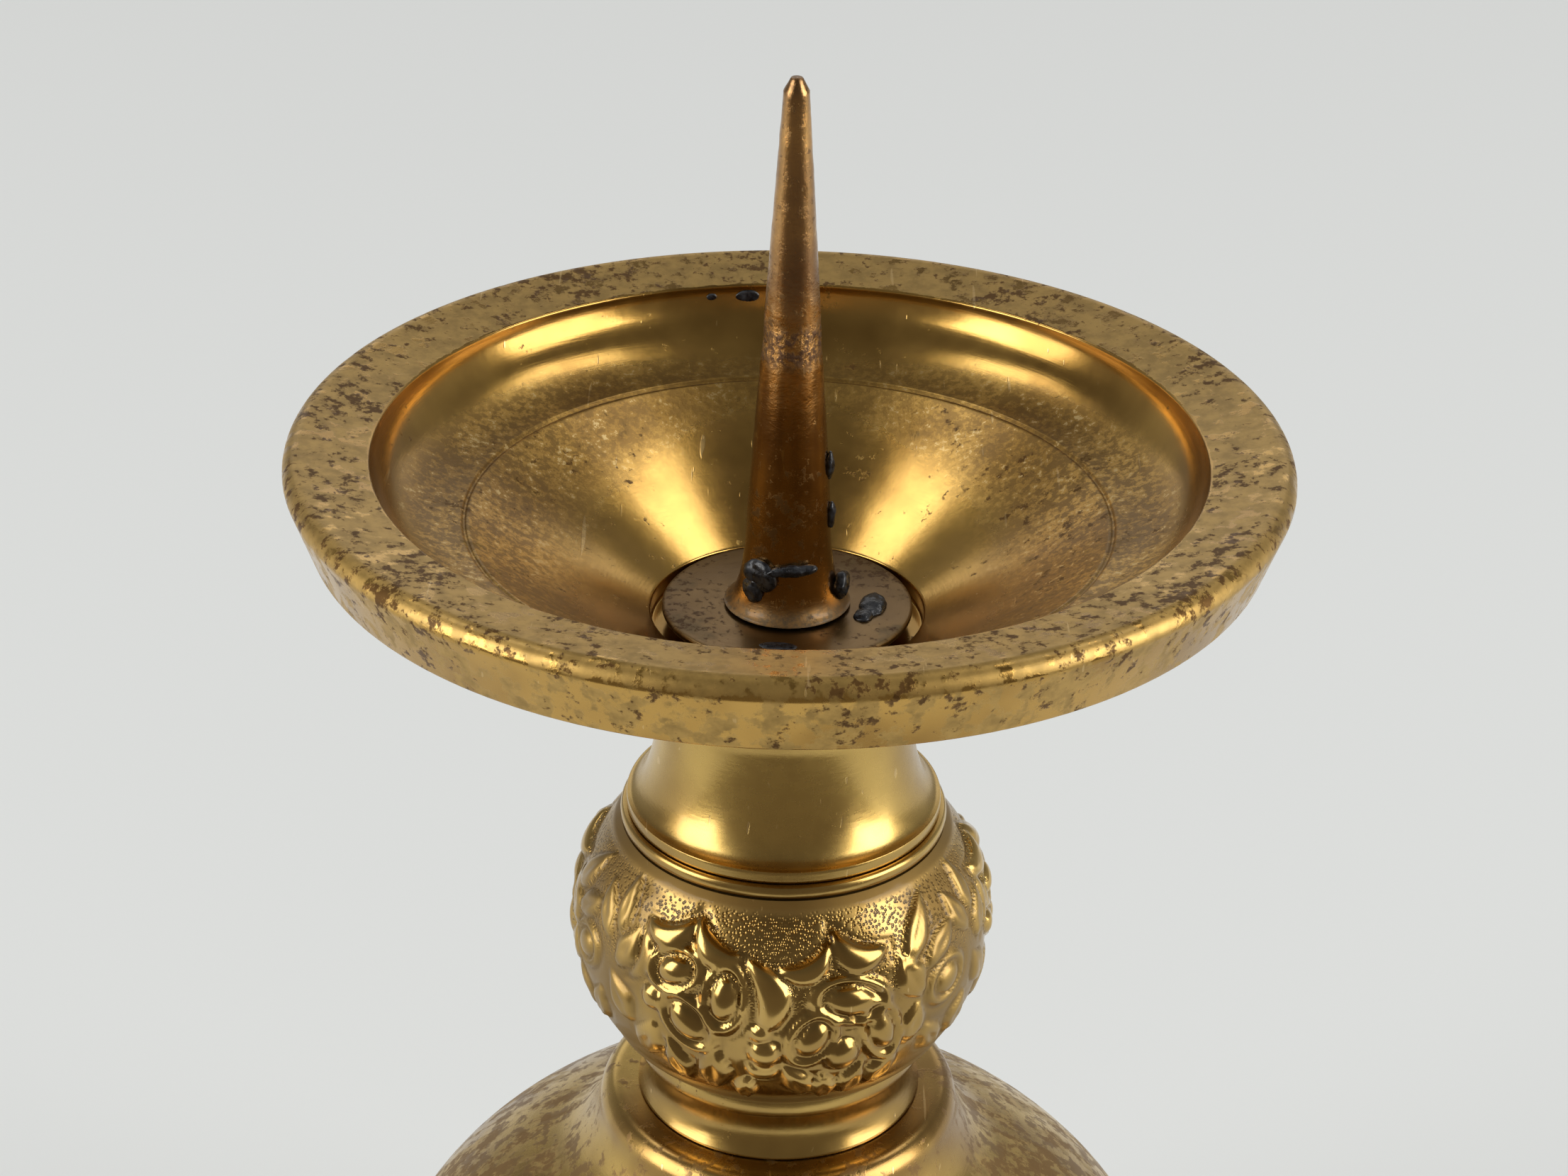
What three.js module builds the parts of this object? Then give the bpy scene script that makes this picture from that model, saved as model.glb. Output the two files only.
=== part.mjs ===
// Brass pricket candlestick: a spike and its disc screwed into a deep funnel-shaped drip pan,
// which drops into a turned stem of neck, ball knop, collar, turnip-shaped bulb and flared foot,
// all drawn together by one tie rod. Millimetres, +Z up, origin on the axis at the resting plane.
import * as THREE from 'three';

// ---- Driving dimensions -------------------------------------------------------------------

const seatGap = 0.2; // between two pieces that are drawn face to face
const rodClearance = 0.4; // radial, around the tie rod
const threadClearance = 0.3; // radial, around the tail of the spike
const socketClearance = 0.3; // radial, between the bush of the pan and the socket of the neck

const foot = {
  radius: 25,
  edgeHeight: 2.2,
  height: 11,
  topRadius: 14,
  wall: 1.8,
  webThickness: 2.6,
  ringWidth: 2.4,
};
const waistRing = { height: 2.4, bulge: 1.4 };
const bulb = {
  radius: 28,
  upperHeight: 20.5, // half axis of the shoulder
  lowerHeight: 15.2, // half axis of the underside
  bottomRadius: 14.6,
  joinRadius: 16, // where the shoulder meets the hollow throat
  throatRadius: 8, // radius of the hollow throat's curve
  throatHeight: 7.2, // top face above the meeting point
  wall: 1.8,
};
const collar = { height: 3.2, topRadius: 9.1, waistRadius: 8.75, footRadius: 9.3 };
const ballRing = { lowerRadius: 9.5, lowerHeight: 1.2, upperRadius: 10.3, upperHeight: 0.6 };
const ball = {
  radius: 13.3,
  topRadius: 10.2,
  bottomRadius: 9.9,
  upperHeight: 10.6,
  lowerHeight: 11.2,
  upperPower: 2.3,
  lowerPower: 2.15,
  wall: 1.8,
};
const neck = {
  footRadius: 9.9,
  bandHeight: 0.8,
  waistRadius: 7.9,
  flareHeight: 7,
  topRadius: 8.4,
  topHeight: 3.4,
  webThickness: 1.6,
  webLift: 2.6,
};
const bush = { radius: 6, length: 5 };
const rod = { radius: 2, headAcross: 6.4, headHeight: 1.6, endLift: 2.2 };
const fastening = { washerRadius: 6, washerThickness: 0.8, nutAcross: 8, nutHeight: 2.8 };
const pan = {
  radius: 30,
  edgeRound: 1,
  rimWidth: 4.1,
  rimFall: 0.7, // how far the rim's top face drops towards the bowl
  rimBandHeight: 3.65, // outer wall below the rounded edge
  rimTaper: 1.3, // how far the outer wall leans in at its lower edge
  coveDepth: 4.3,
  coveReach: 5.4,
  funnelDepth: 6.6,
  wall: 1.3,
  recessDepth: 1.1,
  floorThickness: 1.2,
};
const groove = { width: 0.36, depth: 0.25 };
const recessClearance = 0.7; // radial, around the disc where the funnel ends
const disc = { radius: 7.65, thickness: 0.5 };
const discLift = 0.4; // top of the disc above the lower edge of the funnel
const ferrule = { radius: 3.4, thickness: 0.6 };
const spike = {
  height: 33.5, // above the disc
  footRadius: 3.9,
  flareHeight: 6,
  shaftRadius: 2.55,
  tipRadius: 0.78,
  tipHeight: 0.8,
  tipFlat: 0.35,
  tailRadius: 2,
  tailLength: 7.1,
};

// ---- Heights of the stack, from the resting plane up --------------------------------------

const level = {};
level.waistRing = foot.height + seatGap;
level.bulb = level.waistRing + waistRing.height + seatGap;
level.bulbMiddle = level.bulb + heightBelow(bulb.lowerHeight, bulb.bottomRadius, bulb.radius);
level.bulbJoin = level.bulbMiddle + heightBelow(bulb.upperHeight, bulb.joinRadius, bulb.radius);
level.bulbTop = level.bulbJoin + bulb.throatHeight;
level.collar = level.bulbTop + seatGap;
level.lowerRing = level.collar + collar.height + seatGap;
level.ball = level.lowerRing + ballRing.lowerHeight + seatGap;
level.ballMiddle = level.ball + swell(ball.lowerHeight, ball.bottomRadius, ball.lowerPower);
level.ballTop = level.ballMiddle + swell(ball.upperHeight, ball.topRadius, ball.upperPower);
level.upperRing = level.ballTop + seatGap;
level.neck = level.upperRing + ballRing.upperHeight + seatGap;
level.neckTop = level.neck + neck.bandHeight + neck.flareHeight + neck.topHeight;
level.panSeat = level.neckTop + seatGap;
level.panFloor = level.panSeat + pan.floorThickness;
level.funnelFoot = level.panFloor + pan.recessDepth;
level.grooveLine = level.funnelFoot + pan.funnelDepth;
level.coveTop = level.grooveLine + pan.coveDepth;
level.rimTop = level.coveTop + pan.rimFall;
level.discTop = level.funnelFoot + discLift;
level.spikeSeat = level.discTop + seatGap;

const panInnerRadius = pan.radius - pan.edgeRound - pan.rimWidth;
const grooveRadius = panInnerRadius - pan.coveReach;
const recessRadius = disc.radius + recessClearance;
const rodHole = rod.radius + rodClearance;
const threadHole = spike.tailRadius + threadClearance;
const socketRadius = bush.radius + socketClearance;

// ---- Outline helpers: points are (radius, height) -----------------------------------------

function point(radius, height) {
  return new THREE.Vector2(radius, height);
}

// Height of an ellipse of half axes widest and tall at the given radius.
function heightBelow(tall, radius, widest) {
  return tall * Math.sqrt(1 - (radius / widest) ** 2);
}

// Height above the ball's middle at which its fuller-than-round side has the given radius.
function swell(tall, radius, power) {
  return tall * (1 - (radius / ball.radius) ** power) ** (1 / power);
}

// Points at even steps of a function from 0 to 1.
function sweep(steps, at) {
  return Array.from({ length: steps + 1 }, (_, index) => at(index / steps));
}

// Elliptical stretch about a centre, angles in degrees.
function arc(centre, halfWidth, halfHeight, from, to, steps) {
  return sweep(steps, (share) => {
    const angle = THREE.MathUtils.degToRad(from + (to - from) * share);
    const across = halfWidth * Math.cos(angle);
    return point(centre.x + across, centre.y + halfHeight * Math.sin(angle));
  });
}

// One side of the ball between its middle and an end of the given radius.
function ballSide(radius, endRadius, tall, power, direction, steps) {
  const endShare = (1 - (endRadius / radius) ** power) ** (1 / power);
  return sweep(steps, (share) => {
    const rise = endShare * Math.sin((share * Math.PI) / 2);
    const across = radius * (1 - rise ** power) ** (1 / power);
    return point(across, level.ballMiddle + direction * tall * rise);
  });
}

// A turned piece: the outline closes on itself and runs so that the faces point outwards.
function turned(outline, sides) {
  const closed = [...outline, outline[0].clone()];
  const area = closed.slice(1).reduce((sum, end, index) => {
    const start = closed[index];
    return sum + start.x * end.y - end.x * start.y;
  }, 0);
  if (area < 0) closed.reverse();
  return new THREE.LatheGeometry(closed, sides).rotateX(Math.PI / 2);
}

// A turned piece whose outline starts and ends on the axis.
function turnedSolid(outline, sides) {
  return new THREE.LatheGeometry(outline, sides).rotateX(Math.PI / 2);
}

// A flat ring with square edges.
function ring(inner, outer, bottom, height, sides) {
  const top = bottom + height;
  return turned([point(inner, bottom), point(outer, bottom), point(outer, top), point(inner, top)], sides);
}

// ---- Finishes ------------------------------------------------------------------------------

function metal(colour, roughness) {
  return new THREE.MeshStandardMaterial({ color: colour, roughness, metalness: 1 });
}
const lacqueredBrass = metal(0xb08d4c, 0.35);
const polishedBrass = metal(0xc79a45, 0.2);
const wornBrass = metal(0x8f7448, 0.5);
const heatedBrass = metal(0x5e3d22, 0.45);
const steel = metal(0x77746f, 0.45);

// ---- Pieces --------------------------------------------------------------------------------

const fineSides = 48;
const plainSides = 36;
const smallSides = 24;
const hexSides = 6;

function footShape() {
  const webBottom = foot.height - foot.webThickness;
  const flareWidth = foot.radius - foot.topRadius - 1;
  const flareHeight = foot.height - foot.edgeHeight - 1;
  const corner = point(foot.radius - 1, foot.height - 1);
  const inside = foot.radius - foot.ringWidth;
  return turned([
    point(rodHole, webBottom),
    point(rodHole, foot.height),
    point(foot.topRadius, foot.height),
    ...arc(corner, flareWidth, flareHeight, 180, 270, 6),
    point(foot.radius, foot.edgeHeight),
    point(foot.radius, 0),
    point(inside, 0),
    point(inside, foot.edgeHeight - foot.wall + 1),
    point(foot.topRadius + foot.wall, foot.edgeHeight + foot.wall),
    point(foot.topRadius - foot.wall, webBottom),
  ], fineSides);
}

function waistRingShape() {
  const centre = point(foot.topRadius, level.waistRing + waistRing.height / 2);
  const bead = arc(centre, waistRing.bulge, waistRing.height / 2, -90, 90, 6);
  return turned([
    ...bead,
    point(rodHole, level.waistRing + waistRing.height),
    point(rodHole, level.waistRing),
  ], plainSides);
}

function bulbShape() {
  const middle = point(0, level.bulbMiddle);
  const shoulderStart = THREE.MathUtils.radToDeg(Math.acos(bulb.joinRadius / bulb.radius));
  const shoulder = arc(middle, bulb.radius, bulb.upperHeight, 0, shoulderStart, 8);
  const undersideEnd = THREE.MathUtils.radToDeg(Math.acos(bulb.bottomRadius / bulb.radius));
  const underside = arc(middle, bulb.radius, bulb.lowerHeight, -undersideEnd, 0, 7);

  // The throat's curve leaves the shoulder without a kink and climbs to the top face.
  const slope = (bulb.upperHeight / bulb.radius) / Math.tan(THREE.MathUtils.degToRad(shoulderStart));
  const lean = Math.atan(slope);
  const centre = point(
    bulb.joinRadius + bulb.throatRadius * Math.sin(lean),
    level.bulbJoin + bulb.throatRadius * Math.cos(lean),
  );
  const joinAngle = 270 - THREE.MathUtils.radToDeg(lean);
  const topShare = Math.max(-1, Math.min(1, (level.bulbTop - centre.y) / bulb.throatRadius));
  const topAngle = 180 - THREE.MathUtils.radToDeg(Math.asin(topShare));
  const throat = arc(centre, bulb.throatRadius, bulb.throatRadius, joinAngle, topAngle, 6);

  const insideRadius = bulb.radius - bulb.wall;
  const insideUpper = arc(middle, insideRadius, bulb.upperHeight - bulb.wall, 62, 0, 5);
  const insideEnd = THREE.MathUtils.radToDeg(Math.acos((bulb.bottomRadius - bulb.wall) / insideRadius));
  const insideLower = arc(middle, insideRadius, bulb.lowerHeight, 0, -insideEnd, 5);
  const throatInside = Math.min(throat.at(-1).x, collar.footRadius) - 2 * bulb.wall;
  return turned([
    ...underside,
    ...shoulder.slice(1),
    ...throat.slice(1),
    point(rodHole, level.bulbTop),
    point(rodHole, level.bulbTop - bulb.wall),
    point(throatInside, level.bulbTop - bulb.wall),
    ...insideUpper,
    ...insideLower.slice(1, -1),
    point(bulb.bottomRadius - bulb.wall, level.bulb),
  ], fineSides);
}

function collarShape() {
  const top = level.collar + collar.height;
  const hollow = sweep(6, (share) => {
    const edge = THREE.MathUtils.lerp(collar.footRadius, collar.topRadius, share);
    const depth = THREE.MathUtils.lerp(collar.footRadius, collar.topRadius, 0.5) - collar.waistRadius;
    return point(edge - depth * Math.sin(share * Math.PI), level.collar + collar.height * share);
  });
  return turned([...hollow, point(rodHole, top), point(rodHole, level.collar)], plainSides);
}

function ballShape() {
  const upper = ballSide(ball.radius, ball.topRadius, ball.upperHeight, ball.upperPower, 1, 5);
  const lower = ballSide(ball.radius, ball.bottomRadius, ball.lowerHeight, ball.lowerPower, -1, 6);
  const inside = ball.radius - ball.wall;
  const hollowTop = ball.topRadius - ball.wall;
  const hollowBottom = ball.bottomRadius - ball.wall;
  return turned([
    ...lower.reverse(),
    ...upper.slice(1),
    point(rodHole, level.ballTop),
    point(rodHole, level.ballTop - ball.wall),
    point(hollowTop, level.ballTop - ball.wall),
    point(inside, level.ballMiddle + ball.upperHeight / 4),
    point(inside, level.ballMiddle - ball.lowerHeight / 4),
    point(hollowBottom, level.ball + ball.wall),
    point(rodHole, level.ball + ball.wall),
    point(rodHole, level.ball),
  ], fineSides);
}

function neckShape() {
  const bandTop = level.neck + neck.bandHeight;
  const waist = bandTop + neck.flareHeight;
  const flare = arc(
    point(neck.footRadius, waist), neck.footRadius - neck.waistRadius, neck.flareHeight, 270, 180, 7,
  );
  const webBottom = level.neck + neck.webLift;
  const webTop = webBottom + neck.webThickness;
  return turned([
    point(socketRadius, level.neck),
    point(neck.footRadius, level.neck),
    ...flare,
    point(neck.topRadius, level.neckTop),
    point(socketRadius, level.neckTop),
    point(socketRadius, webTop),
    point(rodHole, webTop),
    point(rodHole, webBottom),
    point(socketRadius, webBottom),
  ], plainSides);
}

function tieRodShape() {
  const headBottom = level.neck + neck.webLift + neck.webThickness + seatGap;
  const headTop = headBottom + rod.headHeight;
  return turnedSolid([
    point(0, rod.endLift),
    point(rod.radius, rod.endLift),
    point(rod.radius, headBottom),
    point(rod.headAcross / 2, headBottom),
    point(rod.headAcross / 2, headTop),
    point(0, headTop),
  ], smallSides);
}

const washerTop = foot.height - foot.webThickness - seatGap;
const washerBottom = washerTop - fastening.washerThickness;

function washerShape() {
  return ring(rodHole, fastening.washerRadius, washerBottom, fastening.washerThickness, smallSides);
}

function nutShape() {
  const top = washerBottom - seatGap;
  const corner = fastening.nutAcross / 2 / Math.cos(Math.PI / hexSides);
  const bore = rodHole / Math.cos(Math.PI / hexSides);
  return ring(bore, corner, top - fastening.nutHeight, fastening.nutHeight, hexSides);
}

function panShape() {
  const holeRadius = bush.radius + seatGap;
  const rimEdge = pan.radius - pan.edgeRound;
  const bandBottom = level.rimTop - pan.edgeRound - pan.rimBandHeight;
  const round = arc(point(rimEdge, level.rimTop - pan.edgeRound), pan.edgeRound, pan.edgeRound, 0, 90, 4);
  const coveEnd = 75; // degrees of the cove's curve, so that it runs out towards the groove
  const coveShare = 1 - Math.cos(THREE.MathUtils.degToRad(coveEnd));
  const coveWidth = (pan.coveReach - groove.width / 2) / coveShare;
  const coveTall = pan.coveDepth / Math.sin(THREE.MathUtils.degToRad(coveEnd));
  const coveCentre = point(panInnerRadius - coveWidth, level.coveTop);
  const cove = arc(coveCentre, coveWidth, coveTall, 0, -coveEnd, 7);
  const funnelSlope = pan.funnelDepth / (grooveRadius - recessRadius);
  const wallDrop = pan.wall * Math.hypot(1, funnelSlope);
  return turned([
    point(holeRadius, level.panSeat),
    point(neck.topRadius, level.panSeat),
    point(recessRadius + pan.wall, level.panSeat + pan.wall / 2),
    point(grooveRadius, level.grooveLine - wallDrop),
    point(panInnerRadius - pan.wall, bandBottom - pan.wall / 2),
    point(pan.radius - pan.rimTaper, bandBottom),
    ...round,
    ...cove,
    point(grooveRadius, level.grooveLine - groove.depth),
    point(grooveRadius - groove.width / 2, level.grooveLine - groove.width / 2 * funnelSlope),
    point(recessRadius, level.funnelFoot),
    point(recessRadius, level.panFloor),
    point(holeRadius, level.panFloor),
  ], fineSides);
}

function bushShape() {
  return ring(threadHole, bush.radius, level.panSeat - bush.length, bush.length + pan.floorThickness, smallSides);
}

function discShape() {
  return ring(threadHole, disc.radius, level.discTop - disc.thickness, disc.thickness, plainSides);
}

function ferruleShape() {
  const top = level.discTop - disc.thickness - seatGap;
  return ring(spike.tailRadius + seatGap, ferrule.radius, top - ferrule.thickness, ferrule.thickness, smallSides);
}

function spikeShape() {
  const base = level.spikeSeat;
  const tip = level.discTop + spike.height;
  const flareWidth = spike.footRadius - spike.shaftRadius;
  const flare = arc(
    point(spike.footRadius, base + spike.flareHeight), flareWidth, spike.flareHeight, 270, 180, 6,
  );
  return turnedSolid([
    point(0, base - spike.tailLength),
    point(spike.tailRadius, base - spike.tailLength),
    point(spike.tailRadius, base),
    ...flare,
    point(spike.tipRadius, tip - spike.tipHeight),
    point(spike.tipFlat, tip),
    point(0, tip),
  ], smallSides);
}

// ---- Assembly ------------------------------------------------------------------------------

function piece(name, geometry, finish) {
  const mesh = new THREE.Mesh(geometry, finish);
  mesh.name = name;
  return mesh;
}

const stem = new THREE.Group();
stem.add(
  piece('foot', footShape(), wornBrass),
  piece('waist_ring', waistRingShape(), lacqueredBrass),
  piece('bulb_body', bulbShape(), wornBrass),
  piece('collar', collarShape(), polishedBrass),
  piece('lower_ball_ring', ring(rodHole, ballRing.lowerRadius, level.lowerRing, ballRing.lowerHeight, plainSides),
    polishedBrass),
  piece('knop_ball', ballShape(), polishedBrass),
  piece('upper_ball_ring', ring(rodHole, ballRing.upperRadius, level.upperRing, ballRing.upperHeight, plainSides),
    polishedBrass),
  piece('neck', neckShape(), lacqueredBrass),
  piece('tie_rod', tieRodShape(), steel),
  piece('rod_washer', washerShape(), steel),
  piece('rod_nut', nutShape(), steel),
);

const dripPan = new THREE.Group();
dripPan.add(
  piece('drip_pan', panShape(), lacqueredBrass),
  piece('pan_bush', bushShape(), wornBrass),
);

const pricket = new THREE.Group();
pricket.add(
  piece('pricket_disc', discShape(), heatedBrass),
  piece('disc_ferrule', ferruleShape(), wornBrass),
  piece('pricket_spike', spikeShape(), heatedBrass),
);

const candlestick = new THREE.Group();
candlestick.add(stem, dripPan, pricket);

export default candlestick;
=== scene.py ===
"""Brass pricket candlestick: its turned, chased and heat-stained pieces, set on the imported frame."""

import logging
import math
import random
from collections.abc import Callable
from dataclasses import dataclass, field
from enum import Enum
from functools import lru_cache

import bpy
from mathutils import Matrix, Vector


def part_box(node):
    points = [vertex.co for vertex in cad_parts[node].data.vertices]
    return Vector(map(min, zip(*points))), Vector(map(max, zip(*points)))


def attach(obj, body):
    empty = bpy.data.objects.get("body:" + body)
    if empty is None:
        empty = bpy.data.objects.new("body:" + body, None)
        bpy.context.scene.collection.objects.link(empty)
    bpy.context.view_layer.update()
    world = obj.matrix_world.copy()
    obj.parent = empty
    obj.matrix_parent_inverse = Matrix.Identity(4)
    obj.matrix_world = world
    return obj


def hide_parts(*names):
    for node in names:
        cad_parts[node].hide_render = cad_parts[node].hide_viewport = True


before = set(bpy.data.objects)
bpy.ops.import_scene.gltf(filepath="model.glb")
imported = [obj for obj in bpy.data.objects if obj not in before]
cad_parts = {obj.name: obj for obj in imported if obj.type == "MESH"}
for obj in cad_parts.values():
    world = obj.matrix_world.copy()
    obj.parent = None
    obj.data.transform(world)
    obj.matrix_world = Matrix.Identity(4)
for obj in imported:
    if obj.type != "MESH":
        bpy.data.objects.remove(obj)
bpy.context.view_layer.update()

LOG = logging.getLogger("candlestick")
MM = 0.001
# Painted shade: darkens the ball's grooves round its ornaments and its sunk ground.
RECESS_PAINTED_SHADE = (0.20, 0.115, 0.035)
# Painted shade: darkens the bottoms of the punched dimples on the ball's ground.
PUNCH_PAINTED_SHADE = (0.12, 0.07, 0.02)
SATIN_BROWN = (0.19, 0.118, 0.038)
STIPPLE_BROWN = (0.17, 0.098, 0.032)
STIPPLE_PALE = (0.68, 0.50, 0.22)
SCALE_BROWN = (0.085, 0.038, 0.018)
CRUST_BROWN = (0.14, 0.08, 0.048)
SOLDER_TAN = (0.22, 0.155, 0.085)
SCRATCH_GOLD = (0.85, 0.62, 0.30)
FULL_TURN = 2.0 * math.pi
Point = tuple[float, float]
Colour = tuple[float, float, float]
Socket = bpy.types.NodeSocket
Value = float | bpy.types.NodeSocket
Painted = Callable[[float, float, float], float]


class Body(Enum):
    """The moving bodies of the frame."""

    STEM = "stem"
    PAN = "pan"
    DISC = "disc"
    SPIKE = "spike"


class Slot(Enum):
    """The finishes named in the record."""

    LACQUERED = "lacquered_brass"
    POLISHED = "polished_brass"
    WORN = "worn_brass"
    HEATED = "heated_brass"


class Grain(Enum):
    """Which way the marks of a finish run."""

    AROUND = "around"
    OUTWARD = "outward"


class Extra(Enum):
    """What a brass finish may have beyond wear and specks."""

    NONE = "none"
    CHASED = "chased"
    MOTTLED = "mottled"
    HEATED = "heated"


# ---- Outlines ------------------------------------------------------------------------------


def arc(
    centre: Point, half_width: float, half_height: float, start: float, end: float, steps: int,
) -> list[Point]:
    """Points of an elliptical stretch.

    Args:
        centre: Radius and height of the ellipse's centre, in mm.
        half_width: Half axis along the radius.
        half_height: Half axis along the height.
        start: First angle, in degrees from the outward direction.
        end: Last angle, in degrees.
        steps: Number of steps between them.

    Returns:
        steps + 1 points of radius and height.
    """
    points = []
    for index in range(steps + 1):
        angle = math.radians(start + (end - start) * index / steps)
        points.append((centre[0] + half_width * math.cos(angle), centre[1] + half_height * math.sin(angle)))
    return points


def fine_line(outline: list[Point], longest: float, closed: bool) -> list[Point]:
    """An outline with its long stretches divided, and a short step at each of their ends.

    Args:
        outline: Points of radius and height, in mm.
        longest: Longest step left, in mm.
        closed: Whether the last point joins the first.

    Returns:
        The denser outline, which never repeats its first point.
    """
    step_in = 0.22
    dense: list[Point] = []
    ends = outline[1:] + (outline[:1] if closed else [])
    for start, end in zip(outline, ends):
        length = math.dist(start, end)
        shares = [0.0]
        if length > 3.0 * step_in:
            middle = max(1, math.ceil((length - 2.0 * step_in) / longest))
            for index in range(middle + 1):
                shares.append((step_in + (length - 2.0 * step_in) * index / middle) / length)
        for share in shares:
            dense.append((start[0] + (end[0] - start[0]) * share, start[1] + (end[1] - start[1]) * share))
    if not closed:
        dense.append(outline[-1])
    return dense


# ---- Hand tools ----------------------------------------------------------------------------


def deselect_all() -> None:
    """Leaves object mode with nothing selected."""
    if bpy.context.object and bpy.context.object.mode != "OBJECT":
        bpy.ops.object.mode_set(mode="OBJECT")
    bpy.ops.object.select_all(action="DESELECT")


def pick(piece: bpy.types.Object) -> None:
    """Makes one piece the only one selected, and active."""
    deselect_all()
    piece.select_set(True)
    bpy.context.view_layer.objects.active = piece


def apply_modifiers(piece: bpy.types.Object) -> None:
    """Applies every modifier of a piece, from the top."""
    pick(piece)
    for modifier in list(piece.modifiers):
        bpy.ops.object.modifier_apply(modifier=modifier.name)


def smooth(piece: bpy.types.Object, degrees: float = 32.0) -> None:
    """Shades a piece smooth, apart from its corners sharper than the angle."""
    pick(piece)
    bpy.ops.object.shade_smooth_by_angle(angle=math.radians(degrees))


def spun(
    name: str, outline: list[Point], steps: int, longest: float = 1.1, closed: bool = True,
) -> bpy.types.Object:
    """Draws an outline point by point and spins it into a turned piece.

    Args:
        name: Name of the piece.
        outline: Points of radius and height, in mm.
        steps: Number of steps round the axis.
        longest: Longest step along the outline, in mm.
        closed: Whether the outline closes on itself; otherwise it starts and ends on the axis.

    Returns:
        The turned piece, with its origin at the frame's.
    """
    points = fine_line(outline, longest, closed)
    if closed:
        points = points + points[:1]
    deselect_all()
    first = points[0]
    bpy.ops.mesh.primitive_plane_add(size=MM, location=(first[0] * MM, 0.0, first[1] * MM))
    piece = bpy.context.object
    piece.name = piece.data.name = name
    bpy.ops.object.transform_apply(location=True, rotation=True, scale=True)
    bpy.ops.object.mode_set(mode="EDIT")
    bpy.ops.mesh.select_all(action="SELECT")
    bpy.ops.mesh.merge(type="CENTER")
    for start, end in zip(points, points[1:]):
        bpy.ops.mesh.extrude_verts_indiv()
        bpy.ops.transform.translate(value=((end[0] - start[0]) * MM, 0.0, (end[1] - start[1]) * MM))
    bpy.ops.mesh.select_all(action="SELECT")
    bpy.ops.mesh.spin(steps=steps, angle=FULL_TURN, center=(0.0, 0.0, 0.0), axis=(0.0, 0.0, 1.0))
    bpy.ops.mesh.select_all(action="SELECT")
    bpy.ops.mesh.remove_doubles(threshold=0.003 * MM)
    bpy.ops.mesh.select_all(action="SELECT")
    bpy.ops.mesh.normals_make_consistent(inside=False)
    bpy.ops.object.mode_set(mode="OBJECT")
    return piece


def break_corners(piece: bpy.types.Object, width: float, degrees: float = 26.0, segments: int = 2) -> None:
    """Bevels the corners of a turned piece that are sharper than the angle.

    Args:
        piece: The piece.
        width: Width of the bevel, in mm.
        degrees: Smallest angle that counts as a corner.
        segments: Steps across the bevel.
    """
    bevel = piece.modifiers.new("broken_corners", "BEVEL")
    bevel.width = width * MM
    bevel.segments = segments
    bevel.limit_method = "ANGLE"
    bevel.angle_limit = math.radians(degrees)
    bevel.use_clamp_overlap = True
    apply_modifiers(piece)


def paint(piece: bpy.types.Object, name: str, value: Painted) -> None:
    """Stores a value for every point of a piece, for its finish to read.

    Args:
        piece: The piece.
        name: Name of the attribute.
        value: Function of azimuth in degrees, radius and height in mm.
    """
    values = []
    for vertex in piece.data.vertices:
        x, y, z = vertex.co
        azimuth = math.degrees(math.atan2(x, -y))
        values.append(value(azimuth, math.hypot(x, y) / MM, z / MM))
    store(piece, name, values)


def store(piece: bpy.types.Object, name: str, values: list[float]) -> None:
    """Stores one value per point of a piece under a name."""
    layer = piece.data.attributes.new(name, "FLOAT", "POINT")
    layer.data.foreach_set("value", values)


def ramp(value: float, start: float, end: float) -> float:
    """Smooth rise from 0 at start to 1 at end."""
    share = min(1.0, max(0.0, (value - start) / (end - start)))
    return share * share * (3.0 - 2.0 * share)


# ---- Finishes ------------------------------------------------------------------------------


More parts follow.
